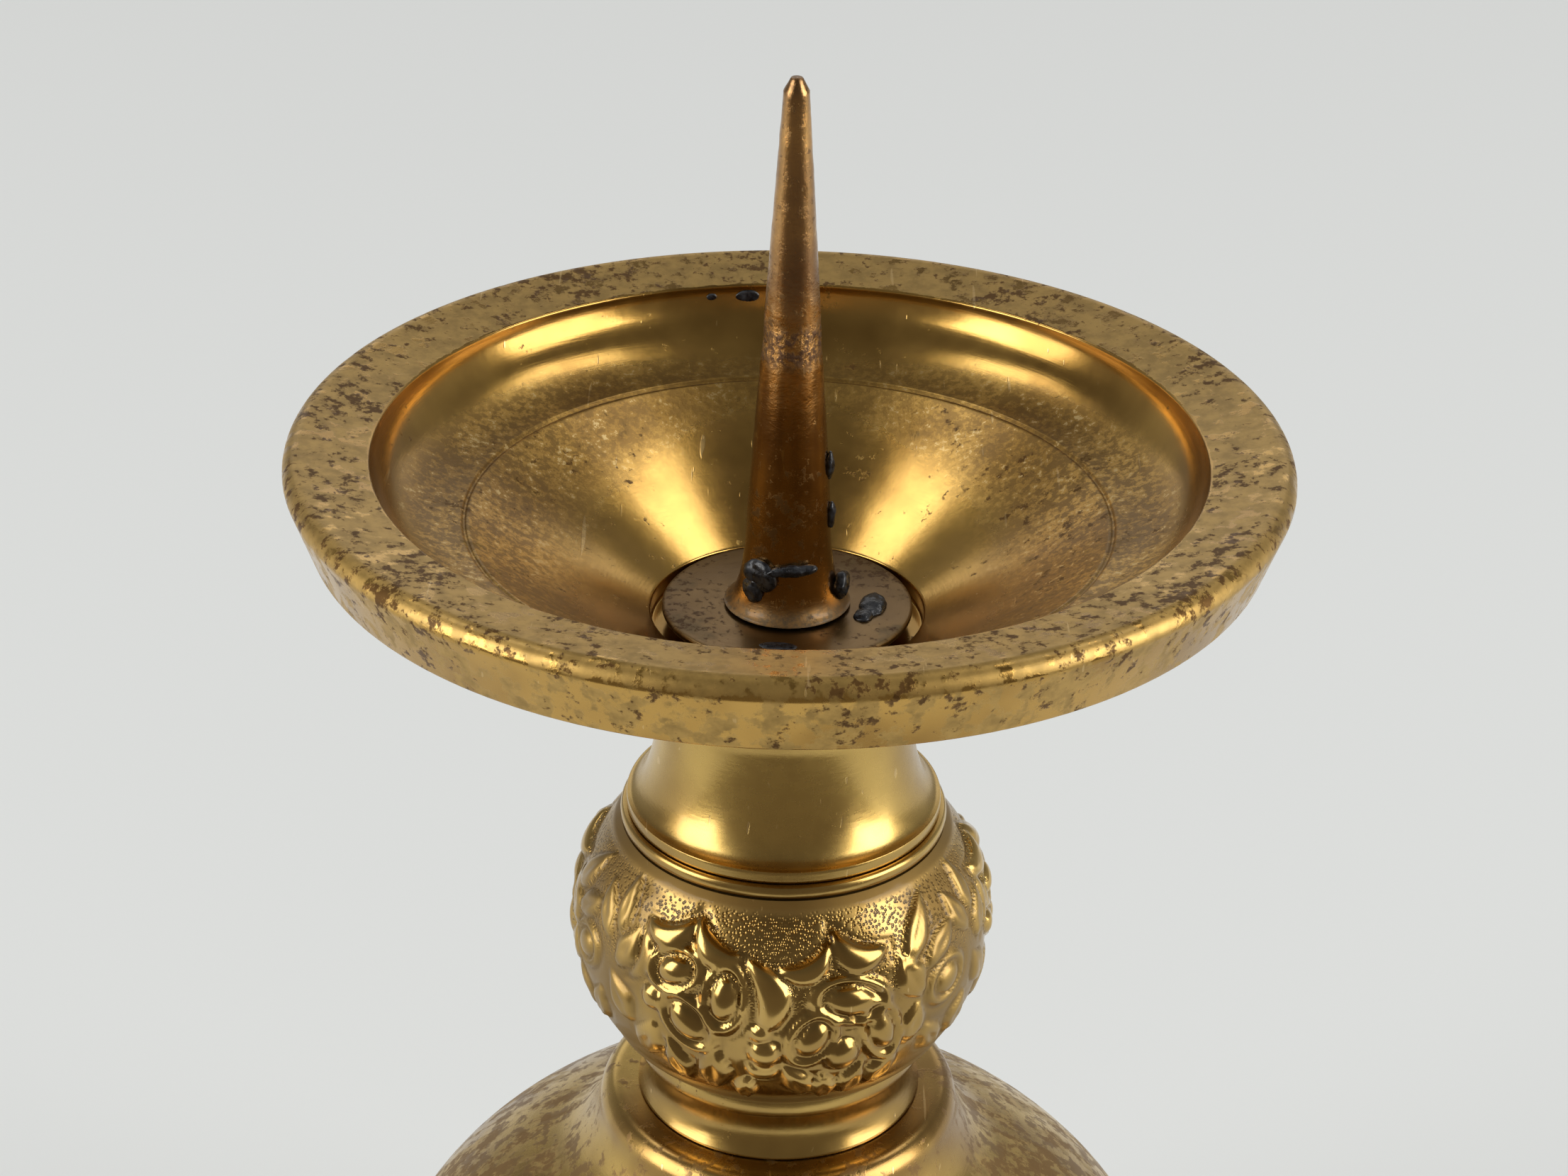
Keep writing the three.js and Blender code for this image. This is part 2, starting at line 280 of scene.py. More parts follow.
class Graph:
    """Adds and joins the nodes of one tree."""

    def __init__(self, tree: bpy.types.NodeTree) -> None:
        """Works on a tree that is emptied first."""
        self.tree = tree
        tree.nodes.clear()

    def add(self, kind: str, inputs: dict | None = None, **settings) -> bpy.types.Node:
        """Adds a node.

        Args:
            kind: Node type, without its ShaderNode prefix unless it is a group's own node.
            inputs: Socket name or number to a value or to an output socket.
            settings: Properties of the node.

        Returns:
            The node.
        """
        node = self.tree.nodes.new(kind if kind.startswith("NodeGroup") else "ShaderNode" + kind)
        for name, value in settings.items():
            setattr(node, name, value)
        for socket, value in (inputs or {}).items():
            if isinstance(value, bpy.types.NodeSocket):
                self.tree.links.new(value, node.inputs[socket])
            else:
                node.inputs[socket].default_value = value
        return node

    def math(self, operation: str, first: Value, second: Value, clamp: bool = False) -> Socket:
        """Result of a Math node on two values."""
        return self.add("Math", {0: first, 1: second}, operation=operation, use_clamp=clamp).outputs[0]

    def plus(self, first: Value, second: Value, clamp: bool = False) -> Socket:
        """Sum of two values."""
        return self.math("ADD", first, second, clamp)

    def minus(self, first: Value, second: Value, clamp: bool = False) -> Socket:
        """First value less the second."""
        return self.math("SUBTRACT", first, second, clamp)

    def times(self, first: Value, second: Value) -> Socket:
        """Product of two values."""
        return self.math("MULTIPLY", first, second)

    def swing(self, value: Value, amount: float) -> Socket:
        """Swing of a noise about its middle, to plus or minus half the amount."""
        return self.times(self.minus(value, 0.5), amount)

    def scaled_parts(self, vector: Socket, scale: float) -> bpy.types.Node:
        """Node that gives the three parts of a scaled vector."""
        scaled = self.add("VectorMath", {0: vector, 3: scale}, operation="SCALE").outputs[0]
        return self.add("SeparateXYZ", {0: scaled})

    def read(self, attribute: str) -> Socket:
        """Value stored in the piece under a name."""
        return self.add("Attribute", attribute_name=attribute).outputs["Fac"]

    def blend(self, share: Value, first: Socket | Colour, second: Socket | Colour) -> Socket:
        """Mix of two colours by a share."""
        node = self.add("Mix", data_type="RGBA")
        for socket, value in ((0, share), (6, first), (7, second)):
            if isinstance(value, bpy.types.NodeSocket):
                self.tree.links.new(value, node.inputs[socket])
            elif socket == 0:
                node.inputs[socket].default_value = value
            else:
                node.inputs[socket].default_value = (*value, 1.0)
        return node.outputs[2]

    def fit(
        self, value: Value, low: float, high: float, to_low: float = 0.0, to_high: float = 1.0,
    ) -> Socket:
        """Smoothly maps the range low to high onto another."""
        inputs = {0: value, 1: low, 2: high, 3: to_low, 4: to_high}
        return self.add("MapRange", inputs, interpolation_type="SMOOTHSTEP").outputs[0]

    def noise(self, vector: Socket, scale: float, detail: float = 4.0, rough: float = 0.55) -> Socket:
        """Noise of a vector that is in mm."""
        inputs = {"Vector": vector, "Scale": scale, "Detail": detail, "Roughness": rough}
        return self.add("TexNoise", inputs).outputs[0]

    def group(self, name: str, inputs: dict | None = None) -> bpy.types.Node:
        """Places one of the shared groups."""
        node = self.add("Group", node_tree=bpy.data.node_groups[name])
        for socket, value in (inputs or {}).items():
            if isinstance(value, bpy.types.NodeSocket):
                self.tree.links.new(value, node.inputs[socket])
            else:
                node.inputs[socket].default_value = value
        return node

    def mask(self, name: str, vector: Socket, scale: float, cover: Value) -> Socket:
        """Places a shared group that gives one mask."""
        return self.group(name, {"Vector": vector, "Scale": scale, "Cover": cover}).outputs[0]


@dataclass(frozen=True)
class EffectGroup:
    """A shared effect: a node group with named sockets."""

    name: str
    inputs: tuple[tuple[str, str, float], ...]
    outputs: tuple[tuple[str, str], ...]

    def start(self) -> tuple[Graph, bpy.types.Node, bpy.types.Node]:
        """Makes the group's tree and sockets.

        Returns:
            The graph, its input node and its output node.
        """
        tree = bpy.data.node_groups.new(self.name, "ShaderNodeTree")
        graph = Graph(tree)
        for label, kind, value in self.inputs:
            socket = tree.interface.new_socket(label, in_out="INPUT", socket_type=kind)
            if kind == "NodeSocketFloat":
                socket.default_value = value
        for label, kind in self.outputs:
            tree.interface.new_socket(label, in_out="OUTPUT", socket_type=kind)
        return graph, graph.add("NodeGroupInput"), graph.add("NodeGroupOutput")


@dataclass(frozen=True)
class TurnedSpace:
    """Positions in mm on a turned piece, and the two ways that its marks run."""

    place: Socket
    around: Socket
    outward: Socket


def turned_space(graph: Graph) -> TurnedSpace:
    """Adds the nodes that give a turned piece's positions.

    Args:
        graph: A material's graph.

    Returns:
        The positions, and the vectors that marks round the axis and outward marks follow.
    """
    place = graph.add("TexCoord").outputs["Object"]
    scaled = graph.add("VectorMath", {0: place, 3: 1000.0}, operation="SCALE").outputs[0]
    parts = graph.add("SeparateXYZ", {0: scaled})
    flat = graph.add("CombineXYZ", {0: parts.outputs[0], 1: parts.outputs[1], 2: 0.0}).outputs[0]
    radius = graph.add("VectorMath", {0: flat}, operation="LENGTH").outputs[1]
    way = graph.add("VectorMath", {0: flat}, operation="NORMALIZE").outputs[0]
    # Around: hardly changes along the turning, quickly across it.
    slow = graph.scaled_parts(way, 1.4)
    across = graph.plus(slow.outputs[0], radius)
    around = graph.add("CombineXYZ", {0: across, 1: slow.outputs[1], 2: parts.outputs[2]}).outputs[0]
    # Outward: quick round the axis, slow along the radius and the height.
    quick = graph.scaled_parts(way, 22.0)
    slow_out = graph.times(graph.plus(radius, parts.outputs[2]), 0.16)
    outward = graph.add("CombineXYZ", {0: quick.outputs[0], 1: quick.outputs[1], 2: slow_out}).outputs[0]
    return TurnedSpace(scaled, around, outward)


def build_mask(
    name: str, detail: float, rough: float, weight: float, edges: tuple[float, float], clustered: bool,
) -> None:
    """Group whose mask is a noise that is over a level.

    Args:
        name: Name of the group.
        detail: Detail of the noise.
        rough: Roughness of the noise.
        weight: How strongly the input Cover raises the noise.
        edges: Levels between which the mask rises.
        clustered: Whether the marks gather in clusters.
    """
    inputs = (
        ("Vector", "NodeSocketVector", 0.0),
        ("Scale", "NodeSocketFloat", 1.0),
        ("Cover", "NodeSocketFloat", 0.5),
    )
    graph, start, end = EffectGroup(name, inputs, (("Mask", "NodeSocketFloat"),)).start()
    place = start.outputs["Vector"]
    level = graph.add("TexNoise", {
        "Vector": place, "Scale": start.outputs["Scale"], "Detail": detail, "Roughness": rough,
    }).outputs[0]
    if clustered:
        level = graph.plus(level, graph.swing(graph.noise(place, 0.17, 3.0), 0.42))
    level = graph.plus(level, graph.times(start.outputs["Cover"], weight))
    graph.tree.links.new(graph.fit(level, *edges), end.inputs["Mask"])


def build_scratches() -> None:
    """Group of thin stray scratches, and the fine lines left by turning."""
    effect = EffectGroup(
        "scratches",
        (("Place", "NodeSocketVector", 0.0), ("Around", "NodeSocketVector", 0.0)),
        (("Scratch", "NodeSocketFloat"), ("Turning", "NodeSocketFloat")),
    )
    graph, start, end = effect.start()
    marks = None
    for turn, scale in ((0.5, (2.2, 0.07, 0.6)), (-0.9, (1.7, 0.05, 0.5)), (1.9, (2.6, 0.06, 0.9))):
        mapping = {"Vector": start.outputs["Place"], "Rotation": (0.3 * turn, 0.2, turn), "Scale": scale}
        mapped = graph.add("Mapping", mapping).outputs[0]
        line = graph.fit(graph.noise(mapped, 1.0, 2.0, 0.4), 0.745, 0.77)
        marks = line if marks is None else graph.math("MAXIMUM", marks, line)
    graph.tree.links.new(marks, end.inputs["Scratch"])
    lines = graph.noise(start.outputs["Around"], 5.0, 3.0, 0.6)
    graph.tree.links.new(lines, end.inputs["Turning"])


@dataclass(frozen=True)
class Look:
    """Colour, roughness and bump height of a finish, as they stand so far."""

    colour: Socket
    rough: Socket
    height: Socket


@dataclass(frozen=True)
class BrassFinish:
    """Brass with its clean metal, its dull bare patches and its brown specks.

    The attribute "wear" of a piece says where the patches and specks gather, from 0 to 1.
    """

    name: str
    metal: Colour = (0.60, 0.40, 0.115)
    shade: Colour = (0.40, 0.25, 0.07)
    pale: Colour = (0.64, 0.44, 0.15)
    brown: Colour = (0.18, 0.10, 0.035)
    metal_rough: float = 0.16
    pale_rough: float = 0.46
    speck_scale: float = 1.5
    patch_scale: float = 0.34
    speck_cover: float = 0.5
    speck_depth: float = 0.85
    patch_cover: float = 0.5
    grain: Grain = Grain.AROUND
    turning: float = 0.10
    streak: float = 0.0
    coat: float = 0.25
    extra: Extra = Extra.NONE

    def material(self) -> bpy.types.Material:
        """Builds the finish's material."""
        material = bpy.data.materials.new(self.name)
        material.use_nodes = True
        graph = Graph(material.node_tree)
        space = turned_space(graph)
        place, around = space.place, space.around
        run = space.outward if self.grain is Grain.OUTWARD else around
        wear = graph.read("wear")
        marks = graph.group("scratches", {"Place": place, "Around": around})
        scratch = marks.outputs["Scratch"]

        cloud = graph.noise(place, 0.11, 3.0, 0.5)
        cloud_fine = graph.noise(place, 0.9, 4.0, 0.6)
        streaks = graph.noise(run, 0.9, 4.0, 0.65)
        lean = graph.plus(graph.plus(wear, self.patch_cover - 1.0), graph.swing(streaks, self.streak))
        patches = graph.mask("patches", place, self.patch_scale, lean)
        lean = graph.plus(graph.times(wear, 0.6), self.speck_cover - 0.6)
        lean = graph.plus(lean, graph.swing(streaks, self.streak))
        specks = graph.mask("specks", place, self.speck_scale, lean)

        dull_pale = tuple(0.72 * part for part in self.pale)
        colour = graph.blend(graph.fit(cloud, 0.35, 0.65), self.metal, self.shade)
        pale = graph.blend(graph.fit(cloud_fine, 0.35, 0.7), self.pale, dull_pale)
        colour = graph.blend(patches, colour, pale)
        colour = graph.blend(graph.times(specks, self.speck_depth), colour, self.brown)
        colour = graph.blend(graph.times(scratch, 0.35), colour, SCRATCH_GOLD)

        rough = graph.plus(graph.times(patches, self.pale_rough - self.metal_rough), self.metal_rough)
        rough = graph.plus(rough, graph.swing(cloud_fine, 0.12))
        rough = graph.plus(rough, graph.times(specks, 0.2), clamp=True)
        metallic = graph.minus(1.0, graph.times(specks, 0.06), clamp=True)

        height = graph.times(marks.outputs["Turning"], self.turning)
        height = graph.minus(height, graph.times(patches, 0.10))
        height = graph.plus(height, graph.times(specks, 0.12))
        height = graph.minus(height, graph.times(scratch, 0.10))
        height = graph.plus(height, graph.times(cloud_fine, 0.10))
        look = self.add_extras(graph, space, Look(colour, rough, height))
        bump = graph.add("Bump", {"Height": look.height, "Distance": 0.10 * MM, "Strength": 0.55})
        shader = graph.add("BsdfPrincipled", {
            "Base Color": look.colour, "Roughness": look.rough,
            "Metallic": metallic, "Normal": bump.outputs[0],
            "Coat Weight": self.coat, "Coat Roughness": 0.12,
        })
        graph.add("OutputMaterial", {"Surface": shader.outputs[0]})
        return material

    def add_extras(self, graph: Graph, space: TurnedSpace, look: Look) -> Look:
        """Adds what a particular finish has beyond plain brass."""
        if self.extra is Extra.CHASED:
            return self.add_chasing(graph, space, look)
        if self.extra is Extra.MOTTLED:
            return self.add_mottle(graph, space, look)
        if self.extra is Extra.HEATED:
            return self.add_heat(graph, space, look)
        return look

    def add_chasing(self, graph: Graph, space: TurnedSpace, look: Look) -> Look:
        """Adds the punched ground between the ornaments, painted shade in the recesses and in the punched
        dimples, and the satin bands.
        """
        ground, recess, satin = graph.read("ground"), graph.read("recess"), graph.read("satin")
        cells = graph.add("TexVoronoi", {"Vector": space.place, "Scale": 4.6}, feature="F1")
        punch = graph.fit(cells.outputs["Distance"], 0.10, 0.55)
        height = graph.plus(look.height, graph.times(graph.times(punch, ground), 0.9))
        # Painted shade in the grooves and on the sunk ground, by the recess share.
        colour = graph.blend(graph.times(recess, 0.75), look.colour, RECESS_PAINTED_SHADE)
        # Painted shade at the bottoms of the punched dimples.
        dimple_shade = graph.times(graph.times(ground, graph.fit(punch, 0.2, 0.9, 1.0, 0.0)), 0.55)
        colour = graph.blend(dimple_shade, colour, PUNCH_PAINTED_SHADE)
        colour = graph.blend(graph.times(satin, 0.75), colour, SATIN_BROWN)
        rough = graph.plus(look.rough, graph.times(satin, 0.36))
        rough = graph.plus(rough, graph.times(ground, 0.10), clamp=True)
        return Look(colour, rough, height)

    def add_mottle(self, graph: Graph, space: TurnedSpace, look: Look) -> Look:
        """Adds the dull stipple along the bowl's groove."""
        mottle = graph.read("mottle")
        grain = graph.noise(space.place, 1.9, 6.0, 0.72)
        broad = graph.noise(space.place, 0.35, 3.0, 0.6)
        lean = graph.plus(grain, graph.swing(broad, 0.3))
        dull = graph.times(mottle, graph.fit(lean, 0.44, 0.56))
        colour = graph.blend(graph.times(dull, 0.75), look.colour, STIPPLE_BROWN)
        light = graph.times(mottle, graph.fit(lean, 0.40, 0.36))
        colour = graph.blend(light, colour, STIPPLE_PALE)
        rough = graph.plus(look.rough, graph.times(mottle, 0.20), clamp=True)
        height = graph.plus(look.height, graph.times(graph.times(grain, mottle), 0.5))
        return Look(colour, rough, height)

    def add_heat(self, graph: Graph, space: TurnedSpace, look: Look) -> Look:
        """Adds the flame's brown scale, the crusty band and the solder at the foot."""
        heat, crust, solder = graph.read("heat"), graph.read("crust"), graph.read("solder")
        streaks = graph.noise(space.outward, 0.7, 5.0, 0.7)
        grit = graph.noise(space.place, 2.6, 5.0, 0.72)
        scale = graph.times(heat, graph.fit(graph.plus(streaks, graph.times(heat, 0.2)), 0.46, 0.64))
        colour = graph.blend(scale, look.colour, SCALE_BROWN)
        crusty = graph.times(crust, graph.fit(grit, 0.42, 0.56))
        colour = graph.blend(crusty, colour, CRUST_BROWN)
        soldered = graph.times(solder, graph.fit(grit, 0.40, 0.60, 0.35, 1.0))
        colour = graph.blend(soldered, colour, SOLDER_TAN)
        rough = graph.plus(look.rough, graph.times(crusty, 0.25))
        rough = graph.plus(rough, graph.times(solder, 0.30))
        rough = graph.plus(rough, graph.times(scale, 0.08), clamp=True)
        height = graph.plus(look.height, graph.times(graph.times(grit, crust), 1.6))
        return Look(colour, rough, height)


@dataclass(frozen=True)
class WaxFinish:
    """Sooty wax left by a candle: blue-black, glossy on its swellings."""

    name: str = "sooty_wax"

    def material(self) -> bpy.types.Material:
        """Builds the finish's material."""
        material = bpy.data.materials.new(self.name)
        material.use_nodes = True
        graph = Graph(material.node_tree)
        place = turned_space(graph).place
        soot = graph.noise(place, 2.4, 5.0, 0.6)
        colour = graph.blend(graph.fit(soot, 0.42, 0.68), (0.004, 0.005, 0.008), (0.026, 0.032, 0.042))
        rough = graph.fit(soot, 0.3, 0.7, 0.18, 0.55)
        bump = graph.add("Bump", {"Height": soot, "Distance": 0.12 * MM, "Strength": 0.6})
        shader = graph.add("BsdfPrincipled", {
            "Base Color": colour, "Roughness": rough, "Metallic": 0.0, "Normal": bump.outputs[0],
            "Coat Weight": 0.4, "Coat Roughness": 0.15,
        })
        graph.add("OutputMaterial", {"Surface": shader.outputs[0]})
        return material


@dataclass(frozen=True)
class SteelFinish:
    """Dull grey steel with a turned grain, rusty in spots."""

    name: str = "dull_steel"

    def material(self) -> bpy.types.Material:
        """Builds the finish's material."""
        material = bpy.data.materials.new(self.name)
        material.use_nodes = True
        graph = Graph(material.node_tree)
        space = turned_space(graph)
        place = space.place
        marks = graph.group("scratches", {"Place": place, "Around": space.around})
        rust = graph.group("patches", {"Vector": place, "Scale": 0.7, "Cover": 0.15}).outputs[0]
        colour = graph.blend(marks.outputs["Turning"], (0.34, 0.33, 0.31), (0.46, 0.45, 0.43))
        colour = graph.blend(rust, colour, (0.16, 0.07, 0.03))
        rough = graph.plus(graph.times(rust, 0.35), 0.36)
        metallic = graph.minus(1.0, graph.times(rust, 0.7))
        height = graph.plus(marks.outputs["Turning"], graph.times(rust, 0.5))
        bump = graph.add("Bump", {"Height": height, "Distance": 0.05 * MM, "Strength": 0.5})
        shader = graph.add("BsdfPrincipled", {
            "Base Color": colour, "Roughness": rough, "Metallic": metallic, "Normal": bump.outputs[0],
        })
        graph.add("OutputMaterial", {"Surface": shader.outputs[0]})
        return material


@dataclass
class Finishes:
    """All the finishes, built once."""

    pan: bpy.types.Material = field(init=False)
    neck: bpy.types.Material = field(init=False)
    rings: bpy.types.Material = field(init=False)
    ball: bpy.types.Material = field(init=False)
    bulb: bpy.types.Material = field(init=False)
    spike: bpy.types.Material = field(init=False)
    disc: bpy.types.Material = field(init=False)
    wax: bpy.types.Material = field(init=False)
    steel: bpy.types.Material = field(init=False)

    def __post_init__(self) -> None:
        """Builds the shared groups first, then each finish."""
        build_mask("specks", 5.0, 0.68, 0.22, (0.64, 0.74), clustered=True)
        build_mask("patches", 6.0, 0.62, 0.40, (0.62, 0.74), clustered=False)
        build_scratches()
        self.pan = BrassFinish(
            "pan_brass", metal=(0.58, 0.35, 0.09), shade=(0.36, 0.205, 0.05), pale=(0.56, 0.36, 0.11),
            brown=(0.125, 0.060, 0.018), metal_rough=0.20, coat=0.08, streak=0.9, grain=Grain.OUTWARD,
            patch_cover=0.72, patch_scale=0.7, speck_scale=1.15, speck_cover=0.50, speck_depth=0.92,
            extra=Extra.MOTTLED,
        ).material()
        self.neck = BrassFinish(
            "neck_brass", metal_rough=0.27, speck_cover=0.1, patch_cover=0.25,
        ).material()
        self.rings = BrassFinish(
            "ring_brass", metal_rough=0.24, speck_cover=0.25, patch_cover=0.4,
        ).material()
        self.ball = BrassFinish(
            "chased_brass", metal=(0.64, 0.42, 0.125), metal_rough=0.19, speck_cover=0.0,
            patch_cover=0.1, turning=0.0, extra=Extra.CHASED,
        ).material()
        self.bulb = BrassFinish(
            "bulb_brass", shade=(0.34, 0.20, 0.06), pale=(0.57, 0.385, 0.135),
            brown=(0.25, 0.145, 0.055), metal_rough=0.26, coat=0.12, streak=1.1, grain=Grain.OUTWARD,
            speck_scale=0.85, speck_cover=0.95, patch_cover=0.6,
        ).material()
        self.spike = BrassFinish(
            "heated_brass", metal=(0.56, 0.31, 0.10), shade=(0.28, 0.15, 0.06), metal_rough=0.20,
            streak=0.5, grain=Grain.OUTWARD, speck_cover=0.55, patch_cover=0.2, turning=0.25,
            extra=Extra.HEATED,
        ).material()
        self.disc = BrassFinish(
            "disc_brass", metal=(0.30, 0.18, 0.062), shade=(0.20, 0.115, 0.042),
            pale=(0.28, 0.185, 0.08), brown=(0.12, 0.060, 0.022), metal_rough=0.32, coat=0.1,
            speck_scale=2.0, speck_cover=0.55, patch_cover=0.5, turning=0.2,
        ).material()
        self.wax = WaxFinish().material()
        self.steel = SteelFinish().material()


# ---- Pieces --------------------------------------------------------------------------------


@dataclass
class Assembly:
    """What every sub-assembly shares: its finishes, and a record of its pieces."""

    finishes: Finishes
    pieces: list[bpy.types.Object] = field(default_factory=list, init=False)

    def settle(
        self, piece: bpy.types.Object, material: bpy.types.Material, body: Body, slot: Slot, *nodes: str,
    ) -> None:
        """Gives a finished piece its material and body, and hides the frame's nodes that it stands for.

        Args:
            piece: The piece.
            material: Its finish.
            body: The body it rides on.
            slot: The record's slot; not used.
            nodes: The frame's nodes that it stands for.
        """
        piece.data.materials.clear()
        piece.data.materials.append(material)
        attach(piece, body.value)
        if nodes:
            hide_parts(*nodes)
        self.pieces.append(piece)

    def report(self) -> None:
        """Logs each piece with its number of faces."""
        for piece in self.pieces:
            LOG.info("%s: %s, %d faces", type(self).__name__, piece.name, len(piece.data.polygons))


@lru_cache(maxsize=None)
def bottom_of(node: str) -> float:
    """Lowest height of a node, in mm."""
    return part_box(node)[0][2] / MM


@lru_cache(maxsize=None)
def top_of(node: str) -> float:
    """Highest height of a node, in mm."""
    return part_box(node)[1][2] / MM


@dataclass
class DripPan(Assembly):
    """The deep pan with its rim, cove, groove and funnel, and the threaded bush in its floor."""

    radius: float = 30.0
    edge_round: float = 1.0
    rim_width: float = 4.1
    rim_fall: float = 0.7
    band_height: float = 3.65
    band_taper: float = 1.3
    cove_depth: float = 4.3
    cove_reach: float = 5.4
    cove_sweep: float = 75.0
    funnel_depth: float = 6.6
    wall: float = 1.3
    recess_radius: float = 8.35
    recess_depth: float = 1.1
    groove_width: float = 0.36
    groove_depth: float = 0.25
    hole_radius: float = 6.2
    seat_radius: float = 8.4

    def outline(self) -> list[Point]:
        """Outline of the pan's section."""
        rim_top = top_of("drip_pan")
        seat = bottom_of("drip_pan")
        cove_top = rim_top - self.rim_fall
        groove_line = cove_top - self.cove_depth
        funnel_foot = groove_line - self.funnel_depth
        floor = funnel_foot - self.recess_depth
        inner = self.radius - self.edge_round - self.rim_width
        groove = inner - self.cove_reach
        band_bottom = rim_top - self.edge_round - self.band_height
        edge = (self.radius - self.edge_round, rim_top - self.edge_round)
        sweep = math.radians(self.cove_sweep)
        cove_width = (self.cove_reach - self.groove_width / 2.0) / (1.0 - math.cos(sweep))
        cove_tall = self.cove_depth / math.sin(sweep)
        slope = self.funnel_depth / (groove - self.recess_radius)
        drop = self.wall * math.hypot(1.0, slope)
        return [
            (self.hole_radius, seat),
            (self.seat_radius, seat),
            (self.recess_radius + self.wall, seat + self.wall / 2.0),
            (groove, groove_line - drop),
            (inner - self.wall, band_bottom - self.wall / 2.0),
            (self.radius - self.band_taper, band_bottom),
            *arc(edge, self.edge_round, self.edge_round, 0.0, 90.0, 10),
            *arc((inner - cove_width, cove_top), cove_width, cove_tall, 0.0, -self.cove_sweep, 26),
            (groove, groove_line - self.groove_depth),
            (groove - self.groove_width / 2.0, groove_line - self.groove_width / 2.0 * slope),
            (self.recess_radius, funnel_foot),
            (self.recess_radius, floor),
            (self.hole_radius, floor),
        ]

    def wear(self, azimuth: float, radius: float, height: float) -> float:
        """How worn the pan is at a place: most on the rim, least in the cove."""
        inner = self.radius - self.edge_round - self.rim_width
        groove = inner - self.cove_reach
        top = top_of("drip_pan")
        sideways = abs(math.sin(math.radians(azimuth)))
        upper = ramp(height, top - 1.1, top - 0.75)
        rim = ramp(radius, inner - 0.1, inner + 0.25) * upper
        outside = ramp(radius, self.radius - 2.2, self.radius - 1.2)
        inside = 1.0 - ramp(radius, inner - 0.6, inner + 0.1)
        lower_cove = 1.0 - ramp(radius, groove + 0.6, groove + 3.2)
        bowl = 0.08 + 0.30 * sideways * ramp(radius, 8.0, groove) * lower_cove
        return max(0.92 * rim, 0.68 * outside, bowl * inside)

    def mottle(self, azimuth: float, radius: float, height: float) -> float:
        """How mottled the bowl is at a place: a band along the groove, widest at the sides."""
        groove = self.radius - self.edge_round - self.rim_width - self.cove_reach
        sideways = abs(math.sin(math.radians(azimuth)))
        band = ramp(radius, groove - 2.5 - 6.5 * sideways, groove - 1.0 - 1.5 * sideways)
        band *= 1.0 - ramp(radius, groove + 1.0 + 1.5 * sideways, groove + 2.5 + 2.2 * sideways)
        return band * (0.35 + 0.65 * sideways)

    def build(self) -> None:
        """Turns and dresses the pan and its bush."""
        pan = spun("turned_pan", self.outline(), 192, longest=0.9)
        break_corners(pan, 0.16, segments=3)
        smooth(pan)
        paint(pan, "wear", self.wear)
        paint(pan, "mottle", self.mottle)
        self.settle(pan, self.finishes.pan, Body.PAN, Slot.LACQUERED, "drip_pan")
        self.build_bush()

    def build_bush(self) -> None:
        """Turns the threaded bush, with chamfered mouths."""
        low, high = bottom_of("pan_bush"), top_of("pan_bush")
        bush = spun("threaded_bush", [(2.3, low), (6.0, low), (6.0, high), (2.3, high)], 72)
        break_corners(bush, 0.25)
        smooth(bush)
        paint(bush, "wear", lambda azimuth, radius, height: 0.55)
        self.settle(bush, self.finishes.rings, Body.PAN, Slot.WORN, "pan_bush")


@dataclass(frozen=True)
class Lump:
    """One lump of burnt wax or fleck of soot, shaped from a subdivided ball."""

    name: str
    body: Body
    azimuth: float  # degrees round the axis from the front
    radius: float  # mm from the axis
    rise: float  # mm above the disc
    size: tuple[float, float, float]  # half sizes sideways, outward and upward, mm
    turn: float  # lean within its own plane, radians

    def build(self, plate: float, seed: float) -> bpy.types.Object:
        """Shapes the lump.

        Args:
            plate: Height of the disc's top, in mm.
            seed: Shifts the swellings.

        Returns:
            The lump.
        """
        angle = math.radians(self.azimuth)
        sideways, forward = math.sin(angle) * self.radius, -math.cos(angle) * self.radius
        deselect_all()
        bpy.ops.mesh.primitive_ico_sphere_add(
            subdivisions=4, radius=MM, location=Vector((sideways, forward, plate + self.rise)) * MM,
        )
        piece = bpy.context.object
        piece.name = piece.data.name = self.name
        piece.scale = self.size
        piece.rotation_euler = (0.0, self.turn, angle)
        bpy.ops.object.transform_apply(location=True, rotation=True, scale=True)
        swell = bpy.data.textures.new(self.name + "_swell", "CLOUDS")
        swell.noise_scale = (0.75 + 0.3 * seed) * MM
        push = piece.modifiers.new("swellings", "DISPLACE")
        push.texture = swell
        push.texture_coords = "LOCAL"
        push.mid_level = 0.62
        push.strength = 0.75 * min(self.size) * MM
        apply_modifiers(piece)
        smooth(piece, 80.0)
        return piece


